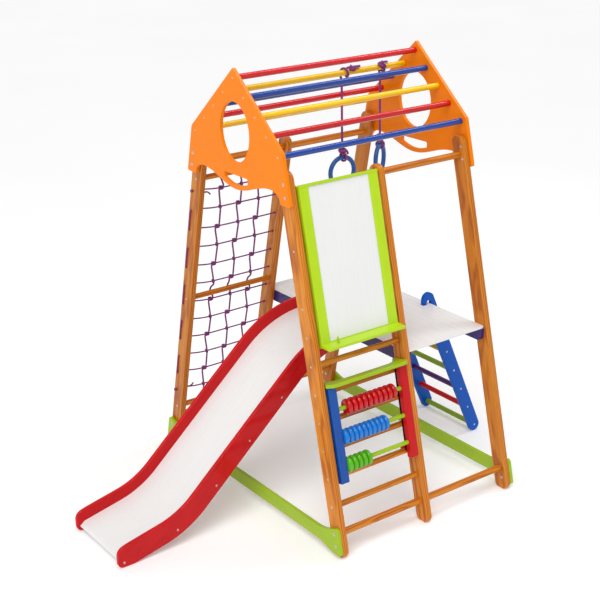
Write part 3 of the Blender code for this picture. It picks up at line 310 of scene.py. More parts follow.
def rope_material(name, rgb):
    """Twisted synthetic yarn: fibres across the lay, painted shade between the strands, a soft sheen."""
    m = Nodes(name)
    tex = m.attr("tex").outputs["Vector"]
    yarn = m.noise(m.vmul(tex, (260.0, 1500.0, 1500.0)), 1.0, 3.0, 0.6)
    fuzz = m.noise(m.vmul(tex, (1900.0, 1900.0, 1900.0)), 1.0, 2.0, 0.6)
    cloud = m.noise(m.vmul(tex, (12.0, 12.0, 12.0)), 1.0, 2.0, 0.5)
    col = m.ramp(m.math("ADD", m.math("MULTIPLY", yarn, 0.6), m.math("MULTIPLY", cloud, 0.4)),
                 [(0.32, shade(rgb, 0.62)), (0.55, rgb), (0.75, shade(rgb, 1.55))])
    groove_shade = m.attr("edge").outputs["Fac"]
    # painted shade: the grooves between the strands darkened
    col = m.mix(m.math("MULTIPLY", groove_shade, 0.70), col, shade(rgb, 0.30))
    m.put(m.bsdf.inputs["Base Color"], col)
    m.put(m.bsdf.inputs["Roughness"], m.remap(fuzz, 0.3, 0.7, 0.60, 0.85))
    m.bsdf.inputs["Sheen Weight"].default_value = 0.25
    m.bsdf.inputs["Sheen Roughness"].default_value = 0.4
    m.put(m.bsdf.inputs["Normal"], m.bump(m.math("ADD", yarn, m.math("MULTIPLY", fuzz, 0.5)), 0.45, 0.0006))
    return m.mat


def steel(name):
    """Zinc-plated screw steel with turning marks and slight dulling."""
    m = Nodes(name)
    tex = m.attr("tex").outputs["Vector"]
    marks = m.noise(m.vmul(tex, (1200.0, 1200.0, 1200.0)), 1.0, 3.0, 0.6)
    cloud = m.noise(m.vmul(tex, (200.0, 200.0, 200.0)), 1.0, 2.0, 0.5)
    m.put(m.bsdf.inputs["Base Color"], m.ramp(cloud, [(0.3, (0.52, 0.51, 0.49, 1)), (0.7, (0.80, 0.80, 0.78, 1))]))
    m.bsdf.inputs["Metallic"].default_value = 0.9
    m.put(m.bsdf.inputs["Roughness"], m.remap(marks, 0.3, 0.7, 0.24, 0.42))
    m.put(m.bsdf.inputs["Normal"], m.bump(marks, 0.10, 0.0003))
    return m.mat


MATS = {
    "wood": (wood("honey_wood", srgb(230, 150, 46), srgb(208, 122, 26), srgb(170, 86, 18)), "honey_wood"),
    "orange": (lacquer("orange_lacquer", srgb(248, 132, 2), 0.36, 0.05, 0.10, 0.05, 0.25, 0.12), "orange_lacquer"),
    "lime": (lacquer("lime_lacquer", srgb(182, 218, 26), 0.30, 0.06, 0.22, 0.05, 0.25), "lime_lacquer"),
    # a darker copy of the lime lacquer, painted shade, used on the base bars, abacus rods and shelf, and the easel peg
    "lime_painted_shade": (lacquer("lime_lacquer_shaded", srgb(158, 192, 14), 0.30, 0.06, 0.22, 0.06, 0.25), "lime_lacquer"),
    "red": (lacquer("red_lacquer", srgb(198, 8, 16), 0.28, 0.05, 0.2, 0.10, 0.2, 0.14), "red_lacquer"),
    "red_bar": (lacquer("red_bar_lacquer", srgb(212, 12, 20), 0.22, 0.04, 0.7), "red_lacquer"),
    "yellow": (lacquer("yellow_bar_lacquer", srgb(246, 200, 8), 0.22, 0.04, 0.7, 0.06), "yellow_lacquer"),
    "blue": (lacquer("blue_lacquer", srgb(8, 78, 166), 0.28, 0.06, 0.25), "blue_lacquer"),
    "blue_ladder": (lacquer("ladder_blue_lacquer", srgb(2, 86, 190), 0.32, 0.06, 0.12, 0.10, 0.2, 0.12), "blue_lacquer"),
    "blue_bar": (lacquer("blue_bar_lacquer", srgb(6, 62, 156), 0.22, 0.04, 0.7), "blue_lacquer"),
    "sky": (lacquer("sky_lacquer", srgb(14, 122, 212), 0.18, 0.03, 0.7), "sky_lacquer"),
    "green": (lacquer("green_lacquer", srgb(88, 180, 12), 0.20, 0.04, 0.6), "green_lacquer"),
    "olive": (lacquer("ladder_green_lacquer", srgb(128, 156, 24), 0.28, 0.06, 0.3), "green_lacquer"),
    "red_bead": (lacquer("bead_red_lacquer", srgb(202, 6, 16), 0.18, 0.03, 0.7), "red_lacquer"),
    "purple": (lacquer("purple_lacquer", srgb(54, 36, 112), 0.30, 0.06, 0.2), "purple_lacquer"),
    "violet": (lacquer("violet_lacquer", srgb(70, 22, 100), 0.28, 0.06, 0.3), "purple_lacquer"),
    "ochre": (lacquer("ochre_lacquer", srgb(176, 146, 24), 0.30, 0.07, 0.3), "ochre_lacquer"),
    "white": (laminate("white_laminate", srgb(238, 238, 237)), "white_laminate"),
    "ring": (moulded("ring_blue", srgb(24, 86, 160)), "ring_blue"),
    "rope": (rope_material("purple_rope", srgb(150, 58, 142)), "purple_rope"),
    "steel": (steel("zinc_steel"), None),
}


# ================================================================ mesh helpers
def front(x, s, dep=0.0):
    return Vector((x, -FOOT_Y + s * math.sin(TILT) + dep * math.cos(TILT),
                   s * math.cos(TILT) - dep * math.sin(TILT)))


def rear(x, s, dep=0.0):
    p = front(x, s, dep)
    return Vector((p.x, -p.y, p.z))


def tex_x(p):
    return (p.x, p.y, p.z)


def tex_y(p):
    return (p.y, p.z, p.x)


def tex_front(p):
    a, b = p.y + FOOT_Y, p.z
    return (a * math.sin(TILT) + b * math.cos(TILT), p.x, a * math.cos(TILT) - b * math.sin(TILT))


def tex_rear(p):
    return tex_front(Vector((p.x, -p.y, p.z)))


def tex_slide(p):
    return (p.x * math.cos(SLOPE) + p.z * math.sin(SLOPE), -p.x * math.sin(SLOPE) + p.z * math.cos(SLOPE), p.y)


def yz(a, b, c):
    return Vector((c, a, b))


def xz(a, b, c):
    return Vector((a, c, b))


def xy(a, b, c):
    return Vector((a, b, c))


def on_front(a, b, c):
    """Outline in dep and s, extruded along X."""
    return front(c, b, a)


def face_front(a, b, c):
    """Outline in x and s, extruded through the depth."""
    return front(a, b, c)


def put(p):
    return Vector(((p.x + X_SHIFT) * MM, p.y * MM, p.z * MM))


def seed_of(name):
    return sum((i + 1) * ord(ch) for i, ch in enumerate(name)) % 9973


def new_bm():
    bm = bmesh.new()
    bm.verts.layers.float.new("edge")
    bm.verts.layers.float_vector.new("own")
    return bm


def piece(name, bm, colour, body="frame", replaces=(), tex=tex_x, angle=42, weighted=True, own=False):
    """Turn a bmesh in millimetres into a named piece that rides on a body."""
    if not own:
        bmesh.ops.recalc_face_normals(bm, faces=bm.faces)
    edge = bm.verts.layers.float["edge"]
    mine = bm.verts.layers.float_vector["own"]
    rng = random.Random(seed_of(name))
    shift = Vector((rng.uniform(-3, 3), rng.uniform(-0.05, 0.05), rng.uniform(-0.05, 0.05)))
    tone = rng.random()
    bm.verts.ensure_lookup_table()
    tex_data, edge_data = [], []
    for v in bm.verts:
        t = v[mine] if own else Vector(tex(v.co))
        tex_data += [t[0] * MM + shift.x, t[1] * MM + shift.y, t[2] * MM + shift.z]
        edge_data.append(v[edge])
        v.co = put(v.co)
    bm.verts.layers.float.remove(bm.verts.layers.float["edge"])
    bm.verts.layers.float_vector.remove(bm.verts.layers.float_vector["own"])
    me = bpy.data.meshes.new(name)
    bm.to_mesh(me)
    bm.free()
    me.attributes.new("tex", "FLOAT_VECTOR", "POINT").data.foreach_set("vector", tex_data)
    me.attributes.new("edge", "FLOAT", "POINT").data.foreach_set("value", edge_data)
    me.attributes.new("tone", "FLOAT", "POINT").data.foreach_set("value", [tone] * len(edge_data))
    mat, slot = MATS[colour]
    me.materials.append(mat)
    me.shade_smooth()
    me.set_sharp_from_angle(angle=math.radians(angle))
    ob = bpy.data.objects.new(name, me)
    bpy.context.scene.collection.objects.link(ob)
    if weighted:
        mod = ob.modifiers.new("face_normals", "WEIGHTED_NORMAL")
        mod.keep_sharp = True
        mod.weight = 90
    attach(ob, body)
    if replaces:
        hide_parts(*replaces)
    return ob


def arc(cx, cz, r, a0, a1, n):
    return [(cx + r * math.cos(math.radians(a0 + (a1 - a0) * i / n)),
             cz + r * math.sin(math.radians(a0 + (a1 - a0) * i / n))) for i in range(n + 1)]


def fillet(points, radius, n=5):
    """Round the corners of a closed outline. radius is one number, or a list with one for each point."""
    out = []
    m = len(points)
    for i, p in enumerate(points):
        r = radius[i] if isinstance(radius, (list, tuple)) else radius
        a, b = Vector(points[i - 1]), Vector(points[(i + 1) % m])
        p = Vector(p)
        d1, d2 = (a - p), (b - p)
        l1, l2 = d1.length, d2.length
        d1.normalize()
        d2.normalize()
        ang = math.acos(max(-1, min(1, d1.dot(d2))))
        if r <= 0 or ang > math.pi - 0.12:
            out.append(tuple(p))
            continue
        cut = min(r / math.tan(ang / 2), 0.46 * l1, 0.46 * l2)
        q1, q2 = p + d1 * cut, p + d2 * cut
        for k in range(n + 1):
            t = k / n
            w = (1 - t) ** 2 * q1 + 2 * t * (1 - t) * p + t * t * q2
            out.append((w.x, w.y))
    return out


def clean_loop(loop, gap=0.25):
    out = []
    for p in loop:
        if not out or math.dist(p, out[-1]) > gap:
            out.append((p[0], p[1]))
    while math.dist(out[0], out[-1]) < gap:
        out.pop()
    return out


def area_of(loop):
    return 0.5 * sum(a[0] * b[1] - b[0] * a[1] for a, b in zip(loop, loop[1:] + loop[:1]))


def inset(loop, d, sign):
    """The outline moved d into the material. Corners that would cross over are drawn together."""
    m = len(loop)
    out = []
    for i in range(m):
        p0, p, p1 = Vector(loop[i - 1]), Vector(loop[i]), Vector(loop[(i + 1) % m])
        e1, e2 = (p - p0).normalized(), (p1 - p).normalized()
        n1, n2 = Vector((-e1.y, e1.x)) * sign, Vector((-e2.y, e2.x)) * sign
        k = 1 + n1.dot(n2)
        mit = (n1 + n2) / k if k > 0.35 else (n1 + n2).normalized() * 1.7
        out.append(p + mit * d)
    group = list(range(m))
    for _ in range(8):
        crossed = False
        for i in range(m):
            j = (i + 1) % m
            if group[i] == group[j]:
                continue
            old = Vector(loop[j]) - Vector(loop[i])
            if (out[j] - out[i]).dot(old) < 0:
                mid = (out[i] + out[j]) / 2
                gi, gj = group[i], group[j]
                for k in range(m):
                    if group[k] in (gi, gj):
                        group[k] = gi
                        out[k] = mid
                crossed = True
        if not crossed:
            break
    return [(q.x, q.y) for q in out]


def plate(outline, lo, hi, to3, b=2.0, seg=3, holes=(), bm=None, hole_b=None):
    """A plate with rounded rims, from an outline and holes."""
    bm = bm or new_bm()
    edge = bm.verts.layers.float["edge"]
    caps = ([], [])
    loops = [(clean_loop(outline), 1, b)] + [(clean_loop(h), -1, b if hole_b is None else hole_b) for h in holes]
    for loop, kind, bb in loops:
        prof = [(bb * (1 - math.sin(math.pi / 2 * i / seg)), bb * (1 - math.cos(math.pi / 2 * i / seg)),
                 0.0 if i in (0, seg) else 1.0) for i in range(seg + 1)]
        levels = [(i, lo + z, e) for i, z, e in prof] + [(i, hi - z, e) for i, z, e in prof[::-1]]
        sign = (1 if area_of(loop) > 0 else -1) * kind
        rings = []
        for d, z, e in levels:
            ring = []
            for a, c in inset(loop, d, sign):
                co = to3(a, c, z)
                if ring and (ring[-1].co - co).length < 1e-3:
                    ring.append(ring[-1])
                    continue
                v = bm.verts.new(co)
                v[edge] = e
                ring.append(v)
            last = ring[-1]
            if last is not ring[0] and (last.co - ring[0].co).length < 1e-3:
                ring = [ring[0] if v is last else v for v in ring]
                bm.verts.remove(last)
            rings.append(ring)
        m = len(loop)
        for r0, r1 in zip(rings, rings[1:]):
            for i in range(m):
                corner = []
                for v in (r0[i], r0[(i + 1) % m], r1[(i + 1) % m], r1[i]):
                    if v not in corner:
                        corner.append(v)
                if len(corner) > 2:
                    bm.faces.new(corner)
        for side, ring in zip(caps, (rings[0], rings[-1])):
            side.append([v for i, v in enumerate(ring) if v is not ring[i - 1]])
    for side in caps:
        if len(side) == 1:
            bm.faces.new(side[0])
        else:
            edges = []
            for ring in side:
                for i in range(len(ring)):
                    edges.append(bm.edges.get((ring[i], ring[(i + 1) % len(ring)])))
            bmesh.ops.triangle_fill(bm, use_beauty=True, use_dissolve=False, edges=edges)
    return bm


def lathe(a, b, prof, n=40, bm=None, closed=False):
    """Turn a profile of (distance from a, radius) about the line from a to b. A radius of 0 closes the end."""
    bm = bm or new_bm()
    edge = bm.verts.layers.float["edge"]
    a, b = Vector(a), Vector(b)
    q = (b - a).normalized().to_track_quat("Z", "Y").to_matrix()
    rings = []
    for item in prof:
        z, r = item[0], item[1]
        e = item[2] if len(item) > 2 else 0.0
        if r <= 1e-6:
            v = bm.verts.new(a + q @ Vector((0, 0, z)))
            v[edge] = e
            rings.append([v])
            continue
        ring = []
        for i in range(n):
            t = 2 * math.pi * i / n
            v = bm.verts.new(a + q @ Vector((r * math.cos(t), r * math.sin(t), z)))
            v[edge] = e
            ring.append(v)
        rings.append(ring)
    pairs = list(zip(rings, rings[1:]))
    if closed:
        pairs.append((rings[-1], rings[0]))
    for lo, hi in pairs:
        for i in range(n):
            j = (i + 1) % n
            if len(lo) == 1:
                bm.faces.new((lo[0], hi[i], hi[j]))
            elif len(hi) == 1:
                bm.faces.new((lo[i], lo[j], hi[0]))
            else:
                bm.faces.new((lo[i], lo[j], hi[j], hi[i]))
    return bm


def rod(a, b, r, n=40, round_=1.8, bm=None):
    length = (Vector(b) - Vector(a)).length
    k = 3
    end = [(round_ * (1 - math.sin(math.pi / 2 * i / k)), r - round_ * (1 - math.cos(math.pi / 2 * i / k)),
            1.0 if 0 < i < k else 0.0) for i in range(k + 1)]
    # end[0] is at full radius, end[k] at the end face
    far = [(length - z, rr, e) for z, rr, e in end]
    near = [(z, rr, e) for z, rr, e in end[::-1]]
    mids = [(length * t, r, 0.0) for t in (0.25, 0.5, 0.75)]
    return lathe(a, b, [(0.0, 0.0)] + near + mids + far + [(length, 0.0)], n, bm)


def frames(pts, closed=False):
    """A tangent and two side directions at each point, turning as little as possible."""
    n = len(pts)
    tan = []
    for i in range(n):
        a = pts[i - 1] if (i > 0 or closed) else pts[0]
        b = pts[(i + 1) % n] if (i < n - 1 or closed) else pts[-1]
        tan.append((b - a).normalized())
    ref = Vector((0, 0, 1)) if abs(tan[0].z) < 0.9 else Vector((1, 0, 0))
    side = (ref - tan[0] * ref.dot(tan[0])).normalized()
    out = []
    for i in range(n):
        if i:
            q = tan[i - 1].rotation_difference(tan[i])
            side = q @ side
            side = (side - tan[i] * side.dot(tan[i])).normalized()
        out.append((tan[i], side, tan[i].cross(side)))
    return out


def sweep(pts, r, bm=None, n=12, depth=0.0, pitch=25.0, closed=False, caps=True, taper=None):
    """A round tube, or with depth a rope of three twisted strands, along the points."""
    bm = bm or new_bm()
    edge = bm.verts.layers.float["edge"]
    own = bm.verts.layers.float_vector["own"]
    fr = frames(pts, closed)
    dist = 0.0
    rings = []
    for i, (p, (t, s, u)) in enumerate(zip(pts, fr)):
        if i:
            dist += (p - pts[i - 1]).length
        turn = 2 * math.pi * dist / pitch if depth else 0.0
        rad = r * (taper(i / (len(pts) - 1)) if taper else 1.0)
        ring = []
        for j in range(n):
            a = 2 * math.pi * j / n
            lobe = abs(math.cos(1.5 * a))
            rr = rad * (1 - depth * (1 - lobe) ** 1.3) if depth else rad
            v = bm.verts.new(p + (s * math.cos(a + turn) + u * math.sin(a + turn)) * rr)
            # on a rope, edge marks the grooves between the strands, which the rope material darkens as painted shade
            v[edge] = (1 - lobe) ** 2 if depth else 0.0
            v[own] = (dist, r * math.cos(a) * 1.5, r * math.sin(a) * 1.5)
            ring.append(v)
        rings.append(ring)
    pairs = list(zip(rings, rings[1:])) + ([(rings[-1], rings[0])] if closed else [])
    for lo, hi in pairs:
        for j in range(n):
            bm.faces.new((lo[j], lo[(j + 1) % n], hi[(j + 1) % n], hi[j]))
    if caps and not closed:
        for ring, p, t, flip in ((rings[0], pts[0], -fr[0][0], True), (rings[-1], pts[-1], fr[-1][0], False)):
            c = bm.verts.new(p + t * r * 0.45)
            c[own] = ring[0][own]
            for j in range(n):
                k = (j + 1) % n
                bm.faces.new((c, ring[k], ring[j]) if flip else (c, ring[j], ring[k]))
    return bm


def spline(points, step):
    """Points every step or so along a smooth curve through the given points."""
    out = [points[0]]
    n = len(points)
    for i in range(n - 1):
        p0 = points[max(i - 1, 0)]
        p1, p2 = points[i], points[i + 1]
        p3 = points[min(i + 2, n - 1)]
        k = max(1, round((p2 - p1).length / step))
        for j in range(1, k + 1):
            t = j / k
            out.append(0.5 * ((2 * p1) + (p2 - p0) * t + (2 * p0 - 5 * p1 + 4 * p2 - p3) * t * t
                              + (3 * p1 - p0 - 3 * p2 + p3) * t ** 3))
    return out


# ================================================================ screws and bolts
def plus(r, w):
    return [(w, w), (w, r), (-w, r), (-w, w), (-r, w), (-r, -w), (-w, -w), (-w, -r), (w, -r), (w, -w), (r, -w), (r, w)]


def screw(bm, at, out, r=4.2, proud=0.5, turn=0.0, socket=False):
    """A screw head that sits in the surface, with a cross or a hexagon recess."""
    at, out = Vector(at), Vector(out).normalized()
    q = out.to_track_quat("Z", "Y").to_matrix() @ Matrix.Rotation(turn, 3, "Z")

    def to3(a, b, c):
        return at + q @ Vector((a, b, c))
    circle = [(r * math.cos(2 * math.pi * i / 20), r * math.sin(2 * math.pi * i / 20)) for i in range(20)]
    hole = [(r * 0.45 * math.cos(math.pi * i / 3), r * 0.45 * math.sin(math.pi * i / 3)) for i in range(6)] \
        if socket else plus(r * 0.56, r * 0.13)
    plate(circle, -1.4, proud, to3, min(0.45, proud * 0.8), 2, holes=[hole[::-1]], bm=bm)
    floor = [(r * 0.62 * math.cos(2 * math.pi * i / 12), r * 0.62 * math.sin(2 * math.pi * i / 12)) for i in range(12)]
    plate(floor, -1.3, -0.9, to3, 0.05, 1, bm=bm)


# ================================================================ posts
def post_outline(top):
    r = POST_D / 2
    ux, uz = math.sin(TILT), math.cos(TILT)
    s_foot = FOOT_C / math.cos(TILT)
    pts = []
    s_top = top - r
    n = 26
    for i in range(n + 1):
        a = math.pi * i / n
        pts.append((-r * math.cos(a), s_top + r * math.sin(a)))
    arcpts = []
    for i in range(n + 1):
        a = math.pi * i / n
        dep, s = r * math.cos(a), s_foot - r * math.sin(a)
        arcpts.append((dep, s, s * uz - dep * ux))
    for p, q in zip(arcpts, arcpts[1:]):
        if p[2] >= 0:
            pts.append(p[:2])
        if (p[2] > 0) != (q[2] > 0):
            t = p[2] / (p[2] - q[2])
            pts.append((p[0] + t * (q[0] - p[0]), p[1] + t * (q[1] - p[1])))
    pts.append(arcpts[-1][:2])
    out = []
    for dep, s in pts:
        p = front(0, s, dep)
        out.append((p.y, max(p.z, 0.0)))
    return clean_loop(out, 0.8)


for side in ("front", "rear"):
    for col, word in enumerate(("left", "middle", "right")):
        outline = post_outline(POST_TOP_MID if col == 1 else POST_TOP_OUTER)
        if side == "rear":
            outline = [(-y, z) for y, z in outline]
        x = POST_X[col]
        name = "post_%s_%s" % (side, word)
        holes = []
        if side == "rear" and col < 2:
            for i in range(NET_ROWS):
                c = rear(0, NET_ROW0 + NET_PITCH * i, LACE_DEP if col == 0 else 0.0)
                holes.append([(c.y + 5.4 * math.cos(math.pi * k / 10), c.z + 5.4 * math.sin(math.pi * k / 10)) for k in range(20)])
        piece(name + "_wood", plate(outline, x - POST_T / 2, x + POST_T / 2, yz, 4.5, 4, holes=holes, hole_b=0.9), "wood",
              replaces=(name,), tex=tex_front if side == "front" else tex_rear)

x_in = POST_X[0] + POST_T / 2 - TENON
x_out = POST_X[2] - POST_T / 2 + TENON
x_mid = POST_X[1] - POST_T / 2 + TENON
for side, place, row in (("front", front, FRONT_DOWELS), ("rear", rear, REAR_DOWELS)):
    for s, word in zip(row, ("bottom", "top")):
        name = "dowel_%s_%s" % (side, word)
        piece(name + "_wood", rod(place(x_in, s), place(x_out, s), DOWEL_R), "wood", replaces=(name,))
for k, s in enumerate(FRONT_RUNGS):
    name = "rung_front_%d" % (k + 1)
    piece(name + "_wood", rod(front(x_in, s), front(x_mid, s), RUNG_R), "wood", replaces=(name,))
for k, s in zip((7, 8, 10), HIDDEN_RUNGS):
    piece("rung_behind_easel_%d" % k, rod(front(x_in, s), front(x_mid, s), RUNG_R), "wood")
for s, word in zip(REAR_RUNGS, ("bottom", "middle", "top")):
    name = "net_rung_" + word
    piece(name + "_wood", rod(rear(x_in, s), rear(x_mid, s), RUNG_R), "wood", replaces=(name,))


# ================================================================ gables and bars
def gable_outline():
    half = []
    sy, sz = SHOULDER
    run, rise = sy, APEX_Z - sz
    ang = math.degrees(math.atan2(run, rise))
    r = 2.5
    c_z = APEX_Z - r
    half += [(r * math.sin(math.radians(a)), c_z + r * math.cos(math.radians(a)))
             for a in (0, 20, 90 - ang)]
    ty, tz = LEG_TIP
    d1 = Vector((run, -rise)).normalized()
    d2 = Vector((ty - sy, tz - sz)).normalized()
    p = Vector((sy, sz)) + Vector((0, 2))
    for i in range(6):
        t = i / 5
        q = (1 - t) ** 2 * (p - d1 * 4) + 2 * t * (1 - t) * p + t * t * (p + d2 * 4)
        half.append((q.x, q.y))
    c = Vector((ty, tz))
    for i in range(9):
        t = i / 8
        q = (1 - t) ** 2 * (c - d2 * 12) + 2 * t * (1 - t) * c + t * t * (c - Vector((12, 0)))
        half.append((q.x, q.y))
    n = 18
    for i in range(n + 1):
        a = math.pi / 2 * i / n
        half.append((LEG_IN - (LEG_IN - ARCH_Y) * (1 - math.cos(a)), tz + (ARCH_Z - tz) * math.sin(a)))
    n = 26
    for i in range(1, n):
        y = ARCH_Y * (1 - i / n)
        half.append((y, (LOBE_Z + ARCH_Z) / 2 - (ARCH_Z - LOBE_Z) / 2 * math.cos(math.pi * y / ARCH_Y)))
    half.append((0.0, LOBE_Z))
    left = [(-y, z) for y, z in half[1:-1]][::-1]
    return half + left


def smile_outline():
    n = 20
    w, c = SMILE_W, 6.0
    pts = [((w - c) * (2 * i / n - 1), SMILE_Z + 14 * (2 * i / n - 1) ** 2) for i in range(n + 1)]
    lz = pts[-1][1]
    pts += arc(w - c, lz + c, c, -60, 0, 4) + arc(w - c, SMILE_TOP - c, c, 0, 90, 6)
    pts += arc(-w + c, SMILE_TOP - c, c, 90, 180, 6) + arc(-w + c, lz + c, c, 180, 240, 4)
    return pts


oval = [(OVAL_W * math.cos(2 * math.pi * i / 72), OVAL_Z + OVAL_H * math.sin(2 * math.pi * i / 72)) for i in range(72)]
for word, sign in (("left", -1), ("right", 1)):
    xa = sign * (POST_X[2] + POST_T / 2 + GAP)
    xb = xa + sign * PLATE
    bm = plate(gable_outline(), min(xa, xb), max(xa, xb), yz, 1.8, 3, holes=(oval, smile_outline()))
    piece("gable_%s_panel" % word, bm, "orange", replaces=("gable_" + word,), tex=tex_y, angle=50)

bar_x = POST_X[2] + POST_T / 2
for name, (y, z, colour) in BARS.items():
    piece(name + "_lacquered", rod((-bar_x, y, z), (bar_x, y, z), BAR_R), {"red": "red_bar", "blue": "blue_bar"}.get(colour, colour),
          replaces=(name,))


def base_outline():
    def edge_y(z):
        return FOOT_Y - z * math.tan(TILT) + POST_D / 2 / math.cos(TILT)
    half = [(0.0, BASE_HI), (470.0, BASE_HI), (495.0, BASE_HI + 3), (530.0, BASE_HI + 14),
            (560.0, BASE_HI + 26), (edge_y(118) - 10, 118.0), (edge_y(108), 110.0), (edge_y(60), 60.0),
            (edge_y(30), 30.0), (edge_y(20) - 3, 20.0), (edge_y(15) - 12, 15.0), (560.0, 15.0),
            (530.0, 19.0), (500.0, 28.0), (475.0, BASE_LO), (0.0, BASE_LO)]
    rad = [0, 120, 120, 90, 30, 14, 14, 0, 30, 14, 20, 60, 90, 90, 120, 0]
    left = [(-y, z) for y, z in half[1:-1]][::-1]
    return fillet(half + left, rad + rad[1:-1][::-1], 6)


for word, sign in (("left", -1), ("right", 1)):
    xa = sign * (POST_X[2] + POST_T / 2 + GAP)
    xb = xa + sign * PLATE
    piece("base_bar_%s_lacquered" % word, plate(base_outline(), min(xa, xb), max(xa, xb), yz, 2.2, 3), "lime_painted_shade",
          replaces=("base_bar_" + word,), tex=tex_y)

# ================================================================ platform
px0 = POST_X[1] + POST_T / 2 + GAP
px1 = POST_X[2] - POST_T / 2 - GAP
rail_z0 = BOARD_TOP - BOARD_T - GAP - SIDE_H


def side_rail_outline():
    z0, z1 = rail_z0, rail_z0 + SIDE_H
    return ([(-SIDE_Y, z1)] + arc(-SIDE_Y + 22, z0 + 22, 22, 180, 270, 12)
            + arc(SIDE_Y - 22, z0 + 22, 22, 270, 360, 12) + [(SIDE_Y, z1)])


for word, a, b in (("left", px0, px0 + SIDE_T), ("right", px1 - SIDE_T, px1)):
    piece("platform_rail_%s_lacquered" % word, plate(side_rail_outline(), a, b, yz, 2.5, 3), "purple",
          replaces=("platform_rail_" + word,), tex=tex_y)

leg_t = 20.0
slide_throat = (px0 - 2.7, px0 + SIDE_T + 2.9)
slide_leg = (slide_throat[1], slide_throat[1] + leg_t)
ladder_throat = (px1 - SIDE_T - 2.4, px1 + 3.0)
ladder_leg = (ladder_throat[0] - 18.0, ladder_throat[0])
slide_ys = (SLIDE_Y0 - SLIDE_W / 2, SLIDE_Y0 + SLIDE_W / 2)
slots = []
for ya, yb in ((slide_ys[0], slide_ys[0] + RAIL_T), (slide_ys[1] - RAIL_T, slide_ys[1])):
    slots.append((slide_leg[0] - 1.2, slide_leg[1] + 1.5, ya - 1.5, yb + 1.5))
for ya, yb in ((LADDER_Y[0], LADDER_Y[0] + LADDER_T), (LADDER_Y[1] - LADDER_T, LADDER_Y[1])):
    slots.append((ladder_leg[0] - 1.5, ladder_leg[1] + 1.0, ya - 1.5, yb + 1.5))
board = fillet([(px0, -BOARD_Y), (px1, -BOARD_Y), (px1, BOARD_Y), (px0, BOARD_Y)], 4, 5)
piece("platform_board_laminate",
      plate(board, BOARD_TOP - BOARD_T, BOARD_TOP, xy, 0.8, 2,
            holes=[[(a, c), (b, c), (b, d), (a, d)] for a, b, c, d in slots]), "white",
      replaces=("platform_board",), tex=tex_y)


# ================================================================ slide
def bed_point(x):
    if x >= LIP_X:
        return BOARD_TOP, 0.0
    x1 = LIP_X - CREST_R * math.sin(SLOPE)
    z1 = BOARD_TOP - CREST_R * (1 - math.cos(SLOPE))
    if x >= x1:
        a = math.asin((LIP_X - x) / CREST_R)
        return BOARD_TOP - CREST_R * (1 - math.cos(a)), a
    z2 = z1 - (x1 - RUN_X) * math.tan(SLOPE)
    if x >= RUN_X:
        return z1 - (x1 - x) * math.tan(SLOPE), SLOPE
    x3 = RUN_X - RUNOUT_R * (math.sin(SLOPE) - math.sin(RUNOUT))
    if x >= x3:
        a = math.asin(math.sin(SLOPE) - (RUN_X - x) / RUNOUT_R)
        return z2 - RUNOUT_R * (math.cos(a) - math.cos(SLOPE)), a
    z3 = z2 - RUNOUT_R * (math.cos(RUNOUT) - math.cos(SLOPE))
    return z3 - (x3 - x) * math.tan(RUNOUT), RUNOUT


def bed_stations(x_from, x_to, n_crest=24, n_run=20):
    xs = [x_from]
    x1 = LIP_X - CREST_R * math.sin(SLOPE)
    x3 = RUN_X - RUNOUT_R * (math.sin(SLOPE) - math.sin(RUNOUT))
    xs += [LIP_X + (x1 - LIP_X) * i / n_crest for i in range(n_crest + 1)]
    xs += [x1 + (RUN_X - x1) * k / 4 for k in (1, 2, 3)]
    xs += [RUN_X + (x3 - RUN_X) * i / n_run for i in range(n_run + 1)]
    xs += [x_to]
    return xs


def offset(x, d):
    z, a = bed_point(x)
    return (x - d * math.sin(a), z + d * math.cos(a))


def slide_rail_outline():
    end = SLIDE_END
    top = [offset(x, RAIL_UP) for x in bed_stations(LIP_X + 12, -1040)]
    hook_top = BOARD_TOP + RAIL_UP
    pts = arc(slide_leg[1] - 16, hook_top - 16, 16, 0, 90, 10)
    pts += top
    zt = top[-1][1]
    pts += arc(end + 34, zt - 38, 34, 100, 180, 12)
    pts += arc(end + 24, 24, 24, 180, 270, 10)
    low = [offset(x, -RAIL_DN) for x in bed_stations(LIP_X + 4, -1040, 20, 16)[::-1]]
    low = [p for p in low if p[1] > 0.0]
    xf = -1040.0
    while offset(xf, -RAIL_DN)[1] < 0.0:
        xf += 1.0
    pts.append((offset(xf, -RAIL_DN)[0], 0.0))
    pts += [p for p in low if p[0] > pts[-1][0] + 6]
    pts.append((slide_throat[0], pts[-1][1]))
    pts.append((slide_throat[0], BOARD_TOP + GAP))
    pts.append((slide_throat[1], BOARD_TOP + GAP))
    pts.append((slide_leg[0], rail_z0 + 14))
    pts += arc(slide_leg[0] + 8, rail_z0 + 12, 8, 180, 270, 5)
    pts += arc(slide_leg[1] - 8, rail_z0 + 12, 8, 270, 360, 5)
    return clean_loop(pts, 0.6)


outline = slide_rail_outline()
for word, ya, yb in (("near", slide_ys[0], slide_ys[0] + RAIL_T), ("far", slide_ys[1] - RAIL_T, slide_ys[1])):
    piece("slide_rail_" + word, plate(outline, ya, yb, xz, 3.6, 4), "red", "slide",
          replaces=("slide_frame",) if word == "near" else (), tex=tex_slide)
for k, x in enumerate(BATTEN_X):
    z, a = bed_point(x)
    u = Vector((-math.cos(a), 0, -math.sin(a)))
    w = Vector((-math.sin(a), 0, math.cos(a)))
    c = Vector((x, 0, z)) - w * (BED_T + GAP)
    sect = fillet([(-20, 0), (20, 0), (20, -16), (-20, -16)], 2.0, 3)
    bm = plate(sect, slide_ys[0] + RAIL_T - 3, slide_ys[1] - RAIL_T + 3,
               lambda p, q, t, c=c, u=u, w=w: c + u * p + w * q + Vector((0, t, 0)), 0.8, 2)
    piece("slide_batten_%d" % (k + 1), bm, "wood", "slide", tex=tex_y)

